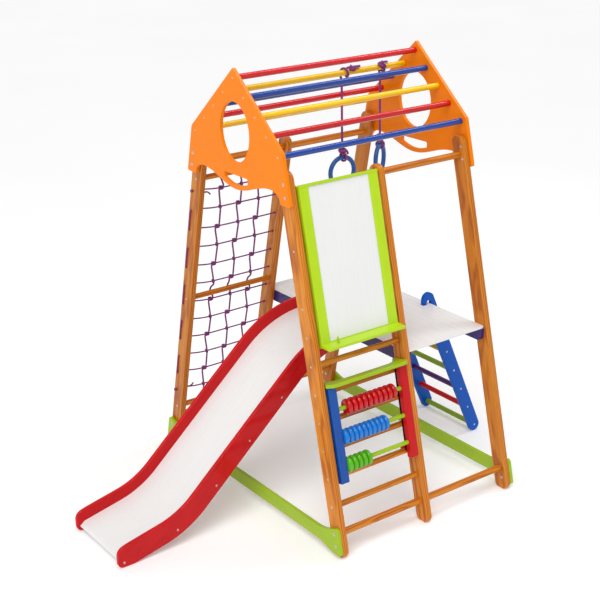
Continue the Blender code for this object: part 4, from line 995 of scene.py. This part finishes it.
sts = bed_stations(px0 - 0.6, -1060, 30, 24)
bed_top = [(x, bed_point(x)[0]) for x in sts]
bed_top.append((SLIDE_END + 12, bed_top[-1][1] - 16))
bed_low = [offset(x, -BED_T) for x in sts]
bed_low.append((SLIDE_END + 16, bed_top[-1][1] - 4))
piece("slide_bed_laminate",
      plate(bed_top + bed_low[::-1], slide_ys[0] + RAIL_T + GAP, slide_ys[1] - RAIL_T - GAP, xz, 0.6, 2),
      "white", "slide", replaces=("slide_bed",), tex=tex_slide)

# ================================================================ small ladder
dx, dz = LADDER_FOOT[0] - LADDER_TOP[0], LADDER_FOOT[1] - LADDER_TOP[1]
lean = math.atan2(dx, -dz)
along = Vector((math.sin(lean), -math.cos(lean)))
outw = Vector((math.cos(lean), math.sin(lean)))
rung_pts = [Vector(LADDER_FOOT) - along * LADDER_PITCH * (LADDER_N - 1 - i) for i in range(LADDER_N)]


def ladder_outline():
    r = LADDER_W / 2
    c = Vector(LADDER_FOOT)
    a0 = math.degrees(math.atan2(outw.y, outw.x))
    arch_c = Vector((ladder_leg[0] + 29.0, ARCH_TOP - 29.0))
    pts = arc(arch_c.x, arch_c.y, 29.0, 180, a0, 16)
    pts += [(x, max(z, 0.0)) for x, z in arc(c.x, c.y, r, a0, a0 - 180, 24)]
    inner = Vector(LADDER_TOP) - outw * r
    x = ladder_throat[1]
    q = inner + along * ((x - inner.x) / along.x)
    pts.append((q.x, q.y))
    mx = (ladder_throat[0] + x) / 2
    pts += [(x, BOARD_TOP + 8), (mx + 4, BOARD_TOP + 16), (mx - 4, BOARD_TOP + 16),
            (ladder_throat[0], BOARD_TOP + 8), (ladder_throat[0], rail_z0 + 22),
            (ladder_throat[0] - 5, rail_z0 + 16), (ladder_leg[0] + 5, rail_z0 + 16), (ladder_leg[0], rail_z0 + 22)]
    return clean_loop(pts, 0.8)


def tex_ladder(p):
    return (p.x * along.x + p.z * along.y, p.x * outw.x + p.z * outw.y, p.y)


ladder_ys = ((LADDER_Y[0], LADDER_Y[0] + LADDER_T), (LADDER_Y[1] - LADDER_T, LADDER_Y[1]))
for word, (ya, yb) in zip(("near", "far"), ladder_ys):
    piece("ladder_rail_%s_lacquered" % word, plate(ladder_outline(), ya, yb, xz, 3.2, 4), "blue_ladder", "small_ladder",
          replaces=("ladder_rail_" + word,), tex=tex_ladder)
for i, (p, colour) in enumerate(zip(rung_pts, ("ochre", "olive", "violet", "red", "olive"))):
    name = "ladder_rung_%d" % (i + 1)
    piece(name + "_lacquered", rod((p.x, ladder_ys[0][1] - 8, p.y), (p.x, ladder_ys[1][0] + 8, p.y), RUNG_R), colour,
          "small_ladder", replaces=(name,), tex=tex_y)


# ================================================================ easel
def hook_strip(dep0, dep1, s0, s1, hooks, r, nose=2.5):
    """Side outline of an upright strip with hooks that drop over round rungs, corners softened."""
    pts, rad = [(dep0, s1), (dep0, s0), (dep1, s0)], [6, 6, 4]
    for s in sorted(hooks):
        m = r + 0.6
        pts.append((dep1, s + 2))
        rad.append(0)
        if dep1 + 4 < -r - GAP:
            pts.append((dep1 + 4, s + 2))
            rad.append(0)
        pts.append((-m, s - 1))
        rad.append(0)
        for i in range(17):
            a = math.pi - math.pi * i / 16
            pts.append((m * math.cos(a), s + m * math.sin(a)))
            rad.append(0)
        pts += [(m, s - 12), (m + 9, s - 12), (m + 9, s + m + 3), (m + 3, s + m + 8), (dep1, s + m + 8)]
        rad += [nose, nose, 6, 6, 2]
    pts.append((dep1, s1))
    rad.append(4)
    return clean_loop(fillet(pts, rad, 4), 0.35)


d0, d1 = EASEL_DEP
hook_s = FRONT_DOWELS[1]


def easel_hook_outline():
    """Side outline of a slim hook that drops over the top dowel."""
    m, w, s = DOWEL_R + 0.6, 5.0, FRONT_DOWELS[1]
    n = 20
    pts = [(d0 + 5, s - 36), (d1, s - 36)]
    pts += [(m * math.cos(math.pi * (1 - i / n)), s + m * math.sin(math.pi * (1 - i / n))) for i in range(n + 1)]
    pts += [(m, s - 10), (m + w, s - 10)]
    top = math.acos(d1 / (m + w))
    pts += [((m + w) * math.cos(top * i / n), s + (m + w) * math.sin(top * i / n)) for i in range(n + 1)]
    pts.append((d0 + 5, s + (m + w) * math.sin(top)))
    return pts


hook = easel_hook_outline()
strip = fillet([(d0, EASEL_S[1] - 4), (d0, EASEL_S[0]), (d1, EASEL_S[0]), (d1, EASEL_S[1] - 4)], 3, 4)
spans = ((EASEL_X[0], EASEL_X[0] + STRIP_W[0]), (EASEL_X[1] - STRIP_W[1], EASEL_X[1]))
for word, (xa, xb) in zip(("left", "right"), spans):
    piece("easel_strip_" + word, plate(strip, xa, xb, on_front, 1.8, 3), "lime", "easel",
          replaces=("easel_frame",) if word == "left" else (), tex=tex_front)
for word, xa in (("left", EASEL_X[0] + 0.2), ("right", EASEL_X[1] - HOOK_W)):
    piece("easel_hook_" + word, plate(hook, xa, xa + HOOK_W - 0.2, on_front, 1.2, 3), "lime", "easel", tex=tex_front)
web = fillet([(EASEL_X[0] + 8, EASEL_S[0] + 0.5), (EASEL_X[1] - 8, EASEL_S[0] + 0.5), (EASEL_X[1] - 8, TRAY_S + 2),
              (EASEL_X[0] + 8, TRAY_S + 2)], 1.5, 3)
piece("easel_bottom_rail", plate(web, d0 + 0.5, d1 - 0.5, face_front, 0.8, 2), "lime", "easel", tex=tex_x)


def tray_point(out, down):
    """A point of the level tray: how far out from the strips' face, and how far below its top."""
    return (d0 + 2 - out * math.cos(TILT) + down * math.sin(TILT), TRAY_S - out * math.sin(TILT) - down * math.cos(TILT))


tray = fillet([tray_point(0, 0), tray_point(TRAY_OUT, 0), tray_point(TRAY_OUT, TRAY_T), tray_point(0, TRAY_T)], [0.5, 3, 3, 0.5], 5)
piece("easel_tray", plate(tray, EASEL_X[0] - 2, EASEL_X[1] - 1, on_front, 2.4, 3), "lime", "easel", tex=tex_x)
cap = fillet([(EASEL_X[0] - 1, EASEL_S[1] - TOP_RAIL), (EASEL_X[1] + 1, EASEL_S[1] - TOP_RAIL), (EASEL_X[1] + 1, EASEL_S[1]),
              (EASEL_X[0] - 1, EASEL_S[1])], 3, 5)
piece("easel_top_rail", plate(cap, d0 - 1.0, d0 + 9, face_front, 1.4, 2), "lime", "easel", tex=tex_x)
peg_dep, peg_s = tray_point(22, 4)
a, b = front(-326.0, peg_s, peg_dep), front(-326.0, peg_s + 28, peg_dep)
piece("easel_peg", lathe(a, b, [(0, 0), (0, 4.2), (22, 4.2), (24, 4.1, 1), (26, 3.4, 1), (27.4, 2.0, 1), (28, 0)], 24),
      "lime_painted_shade", "easel", tex=tex_front)
face = fillet([(EASEL_X[0] + STRIP_W[0] + GAP, TRAY_S + 2 + GAP), (EASEL_X[1] - STRIP_W[1] - GAP, TRAY_S + 2 + GAP),
               (EASEL_X[1] - STRIP_W[1] - GAP, EASEL_S[1] - TOP_RAIL - GAP),
               (EASEL_X[0] + STRIP_W[0] + GAP, EASEL_S[1] - TOP_RAIL - GAP)], 1.0, 2)
piece("easel_board_laminate", plate(face, d0 + 3, d0 + 11, face_front, 0.6, 2), "white", "easel",
      replaces=("easel_board",), tex=tex_front)

# ================================================================ abacus
a0, a1 = ABA_DEP
hooks = [FRONT_RUNGS[1], FRONT_RUNGS[4]]
rod_dep = (a0 + a1) / 2
inner = (ABA_X[0] + ABA_W, ABA_X[1] - ABA_W)
strip = hook_strip(a0, a1, ABA_S[0], ABA_S[1], hooks, RUNG_R)
for word, xa, xb, colour in (("left", ABA_X[0], inner[0], "blue"), ("right", inner[1], ABA_X[1], "red")):
    piece("abacus_rail_%s_lacquered" % word, plate(strip, xa, xb, on_front, 3.0, 4), colour,
          replaces=("abacus_rail_" + word,), tex=tex_front)
for word, s in zip(("top", "middle", "bottom"), ABA_ROWS):
    piece("abacus_rod_%s_lacquered" % word,
          rod(front(inner[0] - 14, s, rod_dep), front(inner[1] + 14, s, rod_dep), ABA_ROD_R, 32), "lime_painted_shade",
          replaces=("abacus_rod_" + word,))
tips = (ABA_X[0] - 8, ABA_X[1] + 8)
sf = -64.0
shelf = [(tips[0], -36.0), (tips[0] + 4, -42.0), (tips[0] + 18, sf + 4), (tips[0] + 30, sf), (tips[1] - 30, sf),
         (tips[1] - 18, sf + 4), (tips[1] - 4, -42.0), (tips[1], -36.0), (ABA_X[1], -34.0), (ABA_X[1], 24.0),
         (ABA_X[1] - 12, 24.0), (ABA_X[1] - 26, 6.0), (ABA_X[1] - 44, -14.0), (ABA_X[1] - 64, -22.0),
         (ABA_X[0] + 64, -22.0), (ABA_X[0] + 44, -14.0), (ABA_X[0] + 26, 6.0), (ABA_X[0] + 12, 24.0),
         (ABA_X[0], 24.0), (ABA_X[0], -34.0)]
rad = [3, 6, 30, 30, 30, 30, 6, 3, 2, 3, 6, 40, 40, 40, 40, 40, 40, 6, 3, 2]
bm = plate(fillet(shelf, rad, 6), ABA_S[1] + 2 * GAP, ABA_S[1] + 14, lambda a, b, c: front(a, c, b), 3.0, 4)
piece("abacus_shelf_lacquered", bm, "lime_painted_shade", replaces=("abacus_shelf",))


def bead(bm, x, s, spin):
    """A turned disc with a rounded rim and a small flat hub round its bore."""
    h = BEAD_T / 2
    side = [(1.00, 9.6, 0.3), (1.0, 13.0, 0), (0.97, 16, 0), (0.91, 19.5, 0), (0.82, 23, 0), (0.70, 25.8, 0),
            (0.54, 27.8, 0), (0.35, 28.7, 0), (0.15, 29.0, 0)]
    prof = [(-h * k, r, e) for k, r, e in side] + [(h * k, r, e) for k, r, e in side[::-1]]
    prof = [(-h * 0.93, ABA_ROD_R + 0.6, 0)] + prof + [(h * 0.93, ABA_ROD_R + 0.6, 0)]
    c = front(x, s, rod_dep)
    return lathe(c, c + Vector((1, 0, 0)), prof, 48, bm, closed=True)


red_pitch = 23.0
red_len = red_pitch * 9 + BEAD_T
rows = (("red", ABA_ROWS[0], (inner[0] + inner[1] - red_len) / 2, red_pitch, 10, "red_bead", "beads_top", "beads_red"),
        ("blue", ABA_ROWS[1], inner[0] + GAP, BEAD_T + 0.2, 10, "sky", "beads_middle", "beads_blue"),
        ("green", ABA_ROWS[2], inner[0] + GAP, BEAD_T + 1.4, 5, "green", "beads_bottom", "beads_green"))
for word, s, x0, pitch, count, colour, body, node in rows:
    for i in range(count):
        piece("bead_%s_%d" % (word, i + 1), bead(None, x0 + pitch * i + BEAD_T / 2, s, i), colour, body,
              replaces=(node,) if i == 0 else (), angle=60, tex=tex_front)


# ================================================================ hanging rings
def ring_rope_route(x, top_y, top_z, ring_z, turn):
    """A tail along the top of the bar, nearly one and a half turns round it, down, and round the ring once."""
    r = BAR_R + ROPE_R + 0.8
    wide, tail = (36.0, 84.0) if turn == 0 else (16.0, 31.0)
    pts = [Vector((x + tail, top_y - 6, top_z + r + 1)), Vector((x + (wide + tail) / 2, top_y - 5, top_z + r + 1.5))]
    n = 20
    for i in range(n + 1):
        a = math.radians(190 + 510 * i / n)
        pts.append(Vector((x + wide - wide * i / n, top_y - r * math.sin(a), top_z - r * math.cos(a))))
    pts.append(Vector((x, top_y + 1.0, top_z - 40)))
    length = top_z - ring_z
    for f in (0.3, 0.5, 0.7):
        pts.append(Vector((x, top_y, top_z - length * f)))
    rr = RING_TUBE + ROPE_R + 1.3
    pts.append(Vector((x, top_y, ring_z + 44)))
    m = Matrix.Rotation(turn, 3, "Z")
    n = 9
    for i in range(n + 1):
        b = math.radians(28 + 304 * i / n)
        q = m @ Vector((11 * i / n, rr * math.sin(b), rr * math.cos(b)))
        pts.append(Vector((x, top_y, ring_z)) + q)
    return pts


def coil(bm, a, b, radius, turns, r, start=0.0):
    """Rope wound round the line from a to b."""
    q = (b - a).normalized().to_track_quat("Z", "Y").to_matrix()
    n = int(turns * 18)
    pts = []
    for i in range(n + 1):
        t = i / n
        ang = start + 2 * math.pi * turns * t
        rad = radius * (1.0 - 0.35 * max(0.0, abs(2 * t - 1) - 0.86) / 0.14)
        pts.append(a + (b - a) * t + q @ Vector((rad * math.cos(ang), rad * math.sin(ang), 0)))
    return sweep(pts, r, bm, 12, 0.22, r * 6)


def knot(bm, centre, size, r, turn, tail=None, flat=1.0, steps=66, up=Vector((0, 0, 1))):
    """A closed overhand knot of rope about a centre, turned about the up direction."""
    q = up.to_track_quat("Z", "Y").to_matrix() @ Matrix.Rotation(turn, 3, "Z")
    pts = []
    for i in range(steps):
        t = 2 * math.pi * i / steps
        p = Vector((math.sin(t) + 2 * math.sin(2 * t), math.cos(t) - 2 * math.cos(2 * t), -1.25 * math.sin(3 * t) * flat))
        pts.append(centre + q @ (p * (size / 3.0)))
    return sweep(pts, r, bm, 10, 0.22, r * 7, closed=True)


top_y, top_z = BARS["bar_rear_1"][:2]
KR = ROPE_R
for word, x, turn, zt in zip(("left", "right"), RING_X, RING_TURN, RING_TOP):
    cz = zt - RING_TUBE
    route = spline(ring_rope_route(x, top_y, top_z, cz, turn), 2.0)
    tube = piece("ring_rope_%s_twisted" % word, sweep(route, ROPE_R + 0.3, None, 14, 0.22, 27.0), "rope", "rope_" + word,
                 replaces=("ring_rope_" + word,), weighted=False, own=True, angle=80)
    m = Matrix.Rotation(turn, 3, "Z")
    # the knot that closes the loop round the ring
    c = Vector((x, top_y, cz + RING_TUBE + 21.0))
    big = word == "left"
    low = knot(None, c, 15.5 if big else 12.0, KR, turn + 0.5, steps=96, up=Vector((0.35, -0.62, 0.70)))
    coil(low, c + Vector((0, 0, -20 if big else -16)), c + Vector((0, 0, 30 if big else 16)), 9.2, 3.2 if big else 2.1, KR, 0.8)
    side = m @ Vector((1, -0.3, 0))
    if big:
        ends = [c + side * 6 + Vector((0, 0, -4)), c + side * 15 + Vector((0, 0, -2)), c + side * 21 + Vector((0, 0, -10)),
                c + side * 23 + Vector((0, 0, -19))]
    else:
        ends = [c + side * 6, c + side * 15 + Vector((0, 0, 3)), c + side * 24 + Vector((0, 0, 1)), c + side * 31 + Vector((0, 0, -4))]
    sweep(spline(ends, 2.0), KR, low, 14, 0.22, 25.0)
    low_knot = piece("ring_knot_low_" + word, low, "rope", "rope_" + word, weighted=False, own=True, angle=80)
    # the knot on the bar
    if big:
        c = Vector((x + 44.0, top_y - 9.0, top_z + 14.0))
        high = knot(None, c, 11.5, KR, 0.9, steps=96, up=Vector((0.2, -0.8, 0.8)))
        ends = [c + Vector((4, -3, 2)), c + Vector((14, -4, 4)), c + Vector((24, -3, 5)), c + Vector((32, -1, 4))]
    else:
        c = Vector((x - 1.0, top_y - 14.0, top_z + 10.0))
        high = knot(None, c, 14.0, KR + 0.3, 0.4, flat=0.9, steps=96, up=Vector((0.1, -1.0, 0.75)))
        ends = [c + Vector((2, -2, -6)), c + Vector((7, -5, -13)), c + Vector((9, -3, -20)), c + Vector((9, 0, -26))]
    sweep(spline(ends, 2.0), KR, high, 14, 0.22, 25.0)
    high_knot = piece("ring_knot_high_" + word, high, "rope", "rope_" + word, weighted=False, own=True, angle=80)
    circle = [Vector((x, top_y, cz)) + m @ Vector((RING_R * math.sin(2 * math.pi * i / 72), 0,
                                                   RING_R * math.cos(2 * math.pi * i / 72) - RING_R)) for i in range(72)]
    piece("ring_%s_moulded" % word, sweep(circle, RING_TUBE, None, 24, closed=True), "ring", "grip_" + word,
          replaces=("ring_" + word,), weighted=False, angle=80)

# ================================================================ climbing net
net = new_bm()
NR, UR = NET_W / 2, NET_T / 2 + 0.2
left_face = POST_X[0] - POST_T / 2 - GAP
right_face = POST_X[1] + POST_T / 2 + GAP
row_s = [NET_ROW0 + NET_PITCH * i for i in range(NET_ROWS)]


def row_at(i, x):
    """Height of a row at x: it sags slightly between the posts and is a little uneven."""
    t = (x - POST_X[0]) / (POST_X[1] - POST_X[0])
    wave = math.sin(math.pi * min(1, max(0, t)))
    return row_s[i] - (1.6 + 0.8 * ((i * 7) % 5 - 2)) * wave


stations = [(left_face - 1.0, LACE_DEP), (POST_X[0], LACE_DEP), (POST_X[0] + 22, LACE_DEP), (-366.0, -11.5), (-340.0, -4.5),
            (NET_X[0] - 12, -0.5), (NET_X[0], 0), (-255.0, 0.4), (NET_X[1], 0), (-164.0, -0.4), (NET_X[2], 0),
            (-70.0, 0.3), (POST_X[1] - 28, 0), (POST_X[1], 0), (right_face + 1.0, 0)]
points = [rear(left_face - 6.0, row_s[0], LACE_DEP)]
for i in range(NET_ROWS):
    for x, dep in (stations if i % 2 == 0 else stations[::-1]):
        inside = POST_X[0] < x < POST_X[1]
        points.append(rear(x, row_at(i, x) if inside else row_s[i], dep))
    if i == NET_ROWS - 1:
        break
    s0, s1 = row_s[i], row_s[i + 1]
    if i == 4:
        out = right_face + NR - 0.4
        for s, d in ((s0 + 1, -6), (s0 + 2, -20), (s0 + 6, -25.8), ((s0 + s1) / 2, -25.8), (s1 - 6, -25.8), (s1 - 2, -20), (s1 - 1, -6)):
            points.append(rear(out, s, d))
    else:
        out, d = (right_face + NR - 0.4, 0.0) if i % 2 == 0 else (left_face - NR + 0.4, LACE_DEP)
        for s in (s0 + 3.0, s0 + 9.0, (s0 + s1) / 2, s1 - 9.0, s1 - 3.0):
            points.append(rear(out, s, d))
points.append(rear(left_face - 6.0, row_s[-1], LACE_DEP))
sweep(spline(points, 2.4), NR, net, 12, 0.24, 19.0)
wrap_r = RUNG_R + UR + 0.4


def round_rung(x, s):
    """One turn of the rope round a rung."""
    turn_pts = []
    for q in range(11):
        a = math.radians(-90 - 36 * q)
        turn_pts.append(rear(x - 3.6 + 0.72 * q, s + wrap_r * math.sin(a), wrap_r * math.cos(a)))
    return turn_pts


def hitch(x_from, x_to, s, turns):
    """Turns of the rope round a row, from above to below."""
    out = []
    n = max(8, int(turns * 12))
    for q in range(n + 1):
        a = math.radians(60) - 2 * math.pi * turns * q / n
        out.append(rear(x_from + (x_to - x_from) * q / n, s + 6.0 * math.sin(a), 6.0 * math.cos(a)))
    return out


for k, x in enumerate(NET_X):
    pts = round_rung(x, REAR_RUNGS[2])[::-1]
    for i in range(NET_ROWS - 1, -1, -1):
        s = row_at(i, x)
        step = i % 2 == (1 if k != 1 else 0)
        j = ((i * 5 + k * 3) % 7 - 3) * 0.4
        if step:
            pts.append(rear(x + 8 + j, s + 15, 3.0))
            pts += hitch(x + 8 + j, x - 8 + j, s, 2.33)
            pts.append(rear(x - 8 + j, s - 15, 3.0))
        else:
            pts.append(rear(x + 4 + j, s + 15, 3.0))
            pts += hitch(x + 5 + j, x + 8 + j, s, 1.33)
            pts.append(rear(x + 8 + j, s - 15, 3.0))
        if i and row_s[i] > REAR_RUNGS[1] > row_s[i - 1]:
            side = 1.0 if step else 7.0
            pts += [rear(x + side - 2, REAR_RUNGS[1] + 22, -8.0), rear(x + side, REAR_RUNGS[1] + 8, -wrap_r - 0.6),
                    rear(x + side, REAR_RUNGS[1] - 6, -wrap_r - 0.6)]
    pts += round_rung(x, REAR_RUNGS[0])[::-1]
    sweep(spline(pts, 2.4), UR, net, 12, 0.24, 22.0)
# knots outside the left post, and short free tails inside it
for s in (row_s[0], row_s[-1]):
    knot(net, rear(left_face - 5.4, s, LACE_DEP), 4.6, 2.6, 0.7, steps=42, up=Vector((1, 0, 0)))
x = POST_X[0] + POST_T / 2
for s, sg in ((row_s[-1], -1), (row_s[0], 1)):
    knot(net, rear(x + 13, s, LACE_DEP + 1), 7.0, 3.4, 0.4, steps=60, up=Vector((1, 0.2, 0.3)))
    tail = [rear(x + 14, s + sg * 3, LACE_DEP + 6), rear(x + 21, s + sg * 9, LACE_DEP + 12), rear(x + 30, s + sg * 8, LACE_DEP + 15),
            rear(x + 40, s + sg * 14, LACE_DEP + 16), rear(x + 46, s + sg * 21, LACE_DEP + 15)]
    sweep(spline(tail, 2.0), 3.4, net, 12, 0.24, 19.0)
piece("climbing_net_rope", net, "rope", replaces=("climbing_net",), weighted=False, own=True, angle=80)

# ================================================================ screws and bolts
bm = new_bm()
lx = POST_X[0] - POST_T / 2
for s in list(FRONT_RUNGS) + HIDDEN_RUNGS + [FRONT_DOWELS[1]]:
    screw(bm, front(lx, s), (-1, 0, 0), turn=s)
for s in REAR_RUNGS:
    screw(bm, rear(lx, s), (-1, 0, 0), turn=s)
mx = POST_X[1] + POST_T / 2
for s in FRONT_RUNGS[:4] + FRONT_RUNGS[5:] + HIDDEN_RUNGS:
    screw(bm, front(mx, s), (1, 0, 0), turn=s * 2)
for s in REAR_RUNGS:
    screw(bm, rear(mx, s), (1, 0, 0), turn=s * 2)
piece("frame_screws", bm, "steel", angle=35)

bm = new_bm()
gx = POST_X[2] + POST_T / 2 + GAP + PLATE
for sg in (-1, 1):
    for name, (y, z, colour) in BARS.items():
        screw(bm, (sg * gx, y, z), (sg, 0, 0), r=3.6, turn=y)
    for place, dep, foot_dep in ((front, -20.0, -12.0), (rear, -11.0, -6.0)):
        for s, d in ((1315.0, dep), (1362.0, dep), (47.0, foot_dep), (93.0, foot_dep)):
            screw(bm, place(sg * gx, s, d), (sg, 0, 0), r=6.2, proud=1.5, turn=s, socket=True)
            screw(bm, place(sg * (POST_X[2] - POST_T / 2), s, d), (-sg, 0, 0), r=5.2, proud=1.4, turn=s * 2, socket=True)
piece("gable_and_base_bolts", bm, "steel", angle=35)

bm = new_bm()
for x in (px0 + SIDE_T / 2, px1 - SIDE_T / 2):
    for y in (-400, -205, 215, 400):
        screw(bm, (x, y, BOARD_TOP), (0, 0, 1), r=3.6, proud=0.4, turn=y)
piece("platform_screws", bm, "steel", angle=35)

bm = new_bm()
for sg, y in ((-1, slide_ys[0]), (1, slide_ys[1])):
    for x in BATTEN_X:
        p = offset(x, -BED_T - 12)
        screw(bm, (p[0], y, p[1]), (0, sg, 0), r=4.0, turn=x)
    screw(bm, (SLIDE_END + 24, y, 20), (0, sg, 0), r=4.0, turn=0.4)
piece("slide_screws", bm, "steel", "slide", angle=35)

bm = new_bm()
for sg, y in ((-1, LADDER_Y[0]), (1, LADDER_Y[1])):
    for p in rung_pts:
        screw(bm, (p.x, y, p.y), (0, sg, 0), r=4.0, turn=p.x)
piece("ladder_screws", bm, "steel", "small_ladder", angle=35)

# ================================================================ floor, lights, camera
bm = bmesh.new()
bmesh.ops.create_grid(bm, x_segments=2, y_segments=2, size=80.0)
me = bpy.data.meshes.new("studio_floor")
bm.to_mesh(me)
bm.free()
fm = Nodes("studio_floor")
geo = fm.new("ShaderNodeNewGeometry")
soft = fm.noise(fm.vmul(geo.outputs["Position"], (0.6, 0.6, 0.6)), 1.0, 2.0)
fm.put(fm.bsdf.inputs["Base Color"], fm.ramp(soft, [(0.3, (0.93, 0.93, 0.93, 1)), (0.7, (0.95, 0.95, 0.95, 1))]))
fm.bsdf.inputs["Roughness"].default_value = 0.9
fm.bsdf.inputs["Emission Color"].default_value = (1.0, 1.0, 1.0, 1.0)
fm.bsdf.inputs["Emission Strength"].default_value = 0.15
fm.bsdf.inputs["Specular IOR Level"].default_value = 0.1
me.materials.append(fm.mat)
floor = bpy.data.objects.new("studio_floor", me)
floor.location = (0, 0, -0.0005)
bpy.context.scene.collection.objects.link(floor)

scene = bpy.context.scene
world = bpy.data.worlds.new("studio")
scene.world = world
world.use_nodes = True
bg = world.node_tree.nodes["Background"]
bg.inputs[0].default_value = (1.0, 1.0, 1.0, 1.0)
bg.inputs[1].default_value = 0.52


def sun(name, direction, strength, angle):
    la = bpy.data.lights.new(name, "SUN")
    la.energy = strength
    la.angle = math.radians(angle)
    ob = bpy.data.objects.new(name, la)
    ob.rotation_euler = Vector(direction).to_track_quat("-Z", "Y").to_euler()
    scene.collection.objects.link(ob)
    return ob


def softbox(name, at, target, size, power):
    la = bpy.data.lights.new(name, "AREA")
    la.shape = "RECTANGLE"
    la.size, la.size_y = size
    la.energy = power
    ob = bpy.data.objects.new(name, la)
    ob.location = at
    ob.rotation_euler = (Vector(target) - Vector(at)).to_track_quat("-Z", "Y").to_euler()
    scene.collection.objects.link(ob)
    return ob


sun("key", (0.52, 0.45, -1.0), 1.3, 40)
softbox("left_box", (-2.0, -0.9, 2.1), (-0.2, 0, 1.4), (0.7, 1.0), 8)
softbox("top_box", (0.4, -0.6, 4.2), (0, 0, 0.8), (2.4, 0.5), 6)
softbox("strip_light", (1.8, -0.35, 4.0), (0.1, 0, 1.6), (0.50, 2.3), 26)

cam_data = bpy.data.cameras.new("photo_camera")
cam_data.sensor_fit = "HORIZONTAL"
cam_data.sensor_width = 36.0
cam_data.lens = 76.32
cam_data.shift_x, cam_data.shift_y = 0.0175, -0.0809
cam_data.clip_end = 500.0
cam = bpy.data.objects.new("photo_camera", cam_data)
yaw, pitch, roll = math.radians(35.571), math.radians(18.813), math.radians(-1.131)
fwd = Vector((math.sin(yaw) * math.cos(pitch), math.cos(yaw) * math.cos(pitch), -math.sin(pitch)))
right = Vector((math.cos(yaw), -math.sin(yaw), 0))
up = right.cross(fwd)
r2 = right * math.cos(roll) + up * math.sin(roll)
u2 = up * math.cos(roll) - right * math.sin(roll)
cam.matrix_world = Matrix(((r2.x, u2.x, -fwd.x, -2.66099), (r2.y, u2.y, -fwd.y, -3.72286),
                           (r2.z, u2.z, -fwd.z, 2.52312), (0, 0, 0, 1)))
scene.collection.objects.link(cam)
scene.camera = cam
scene.view_settings.view_transform = "Standard"
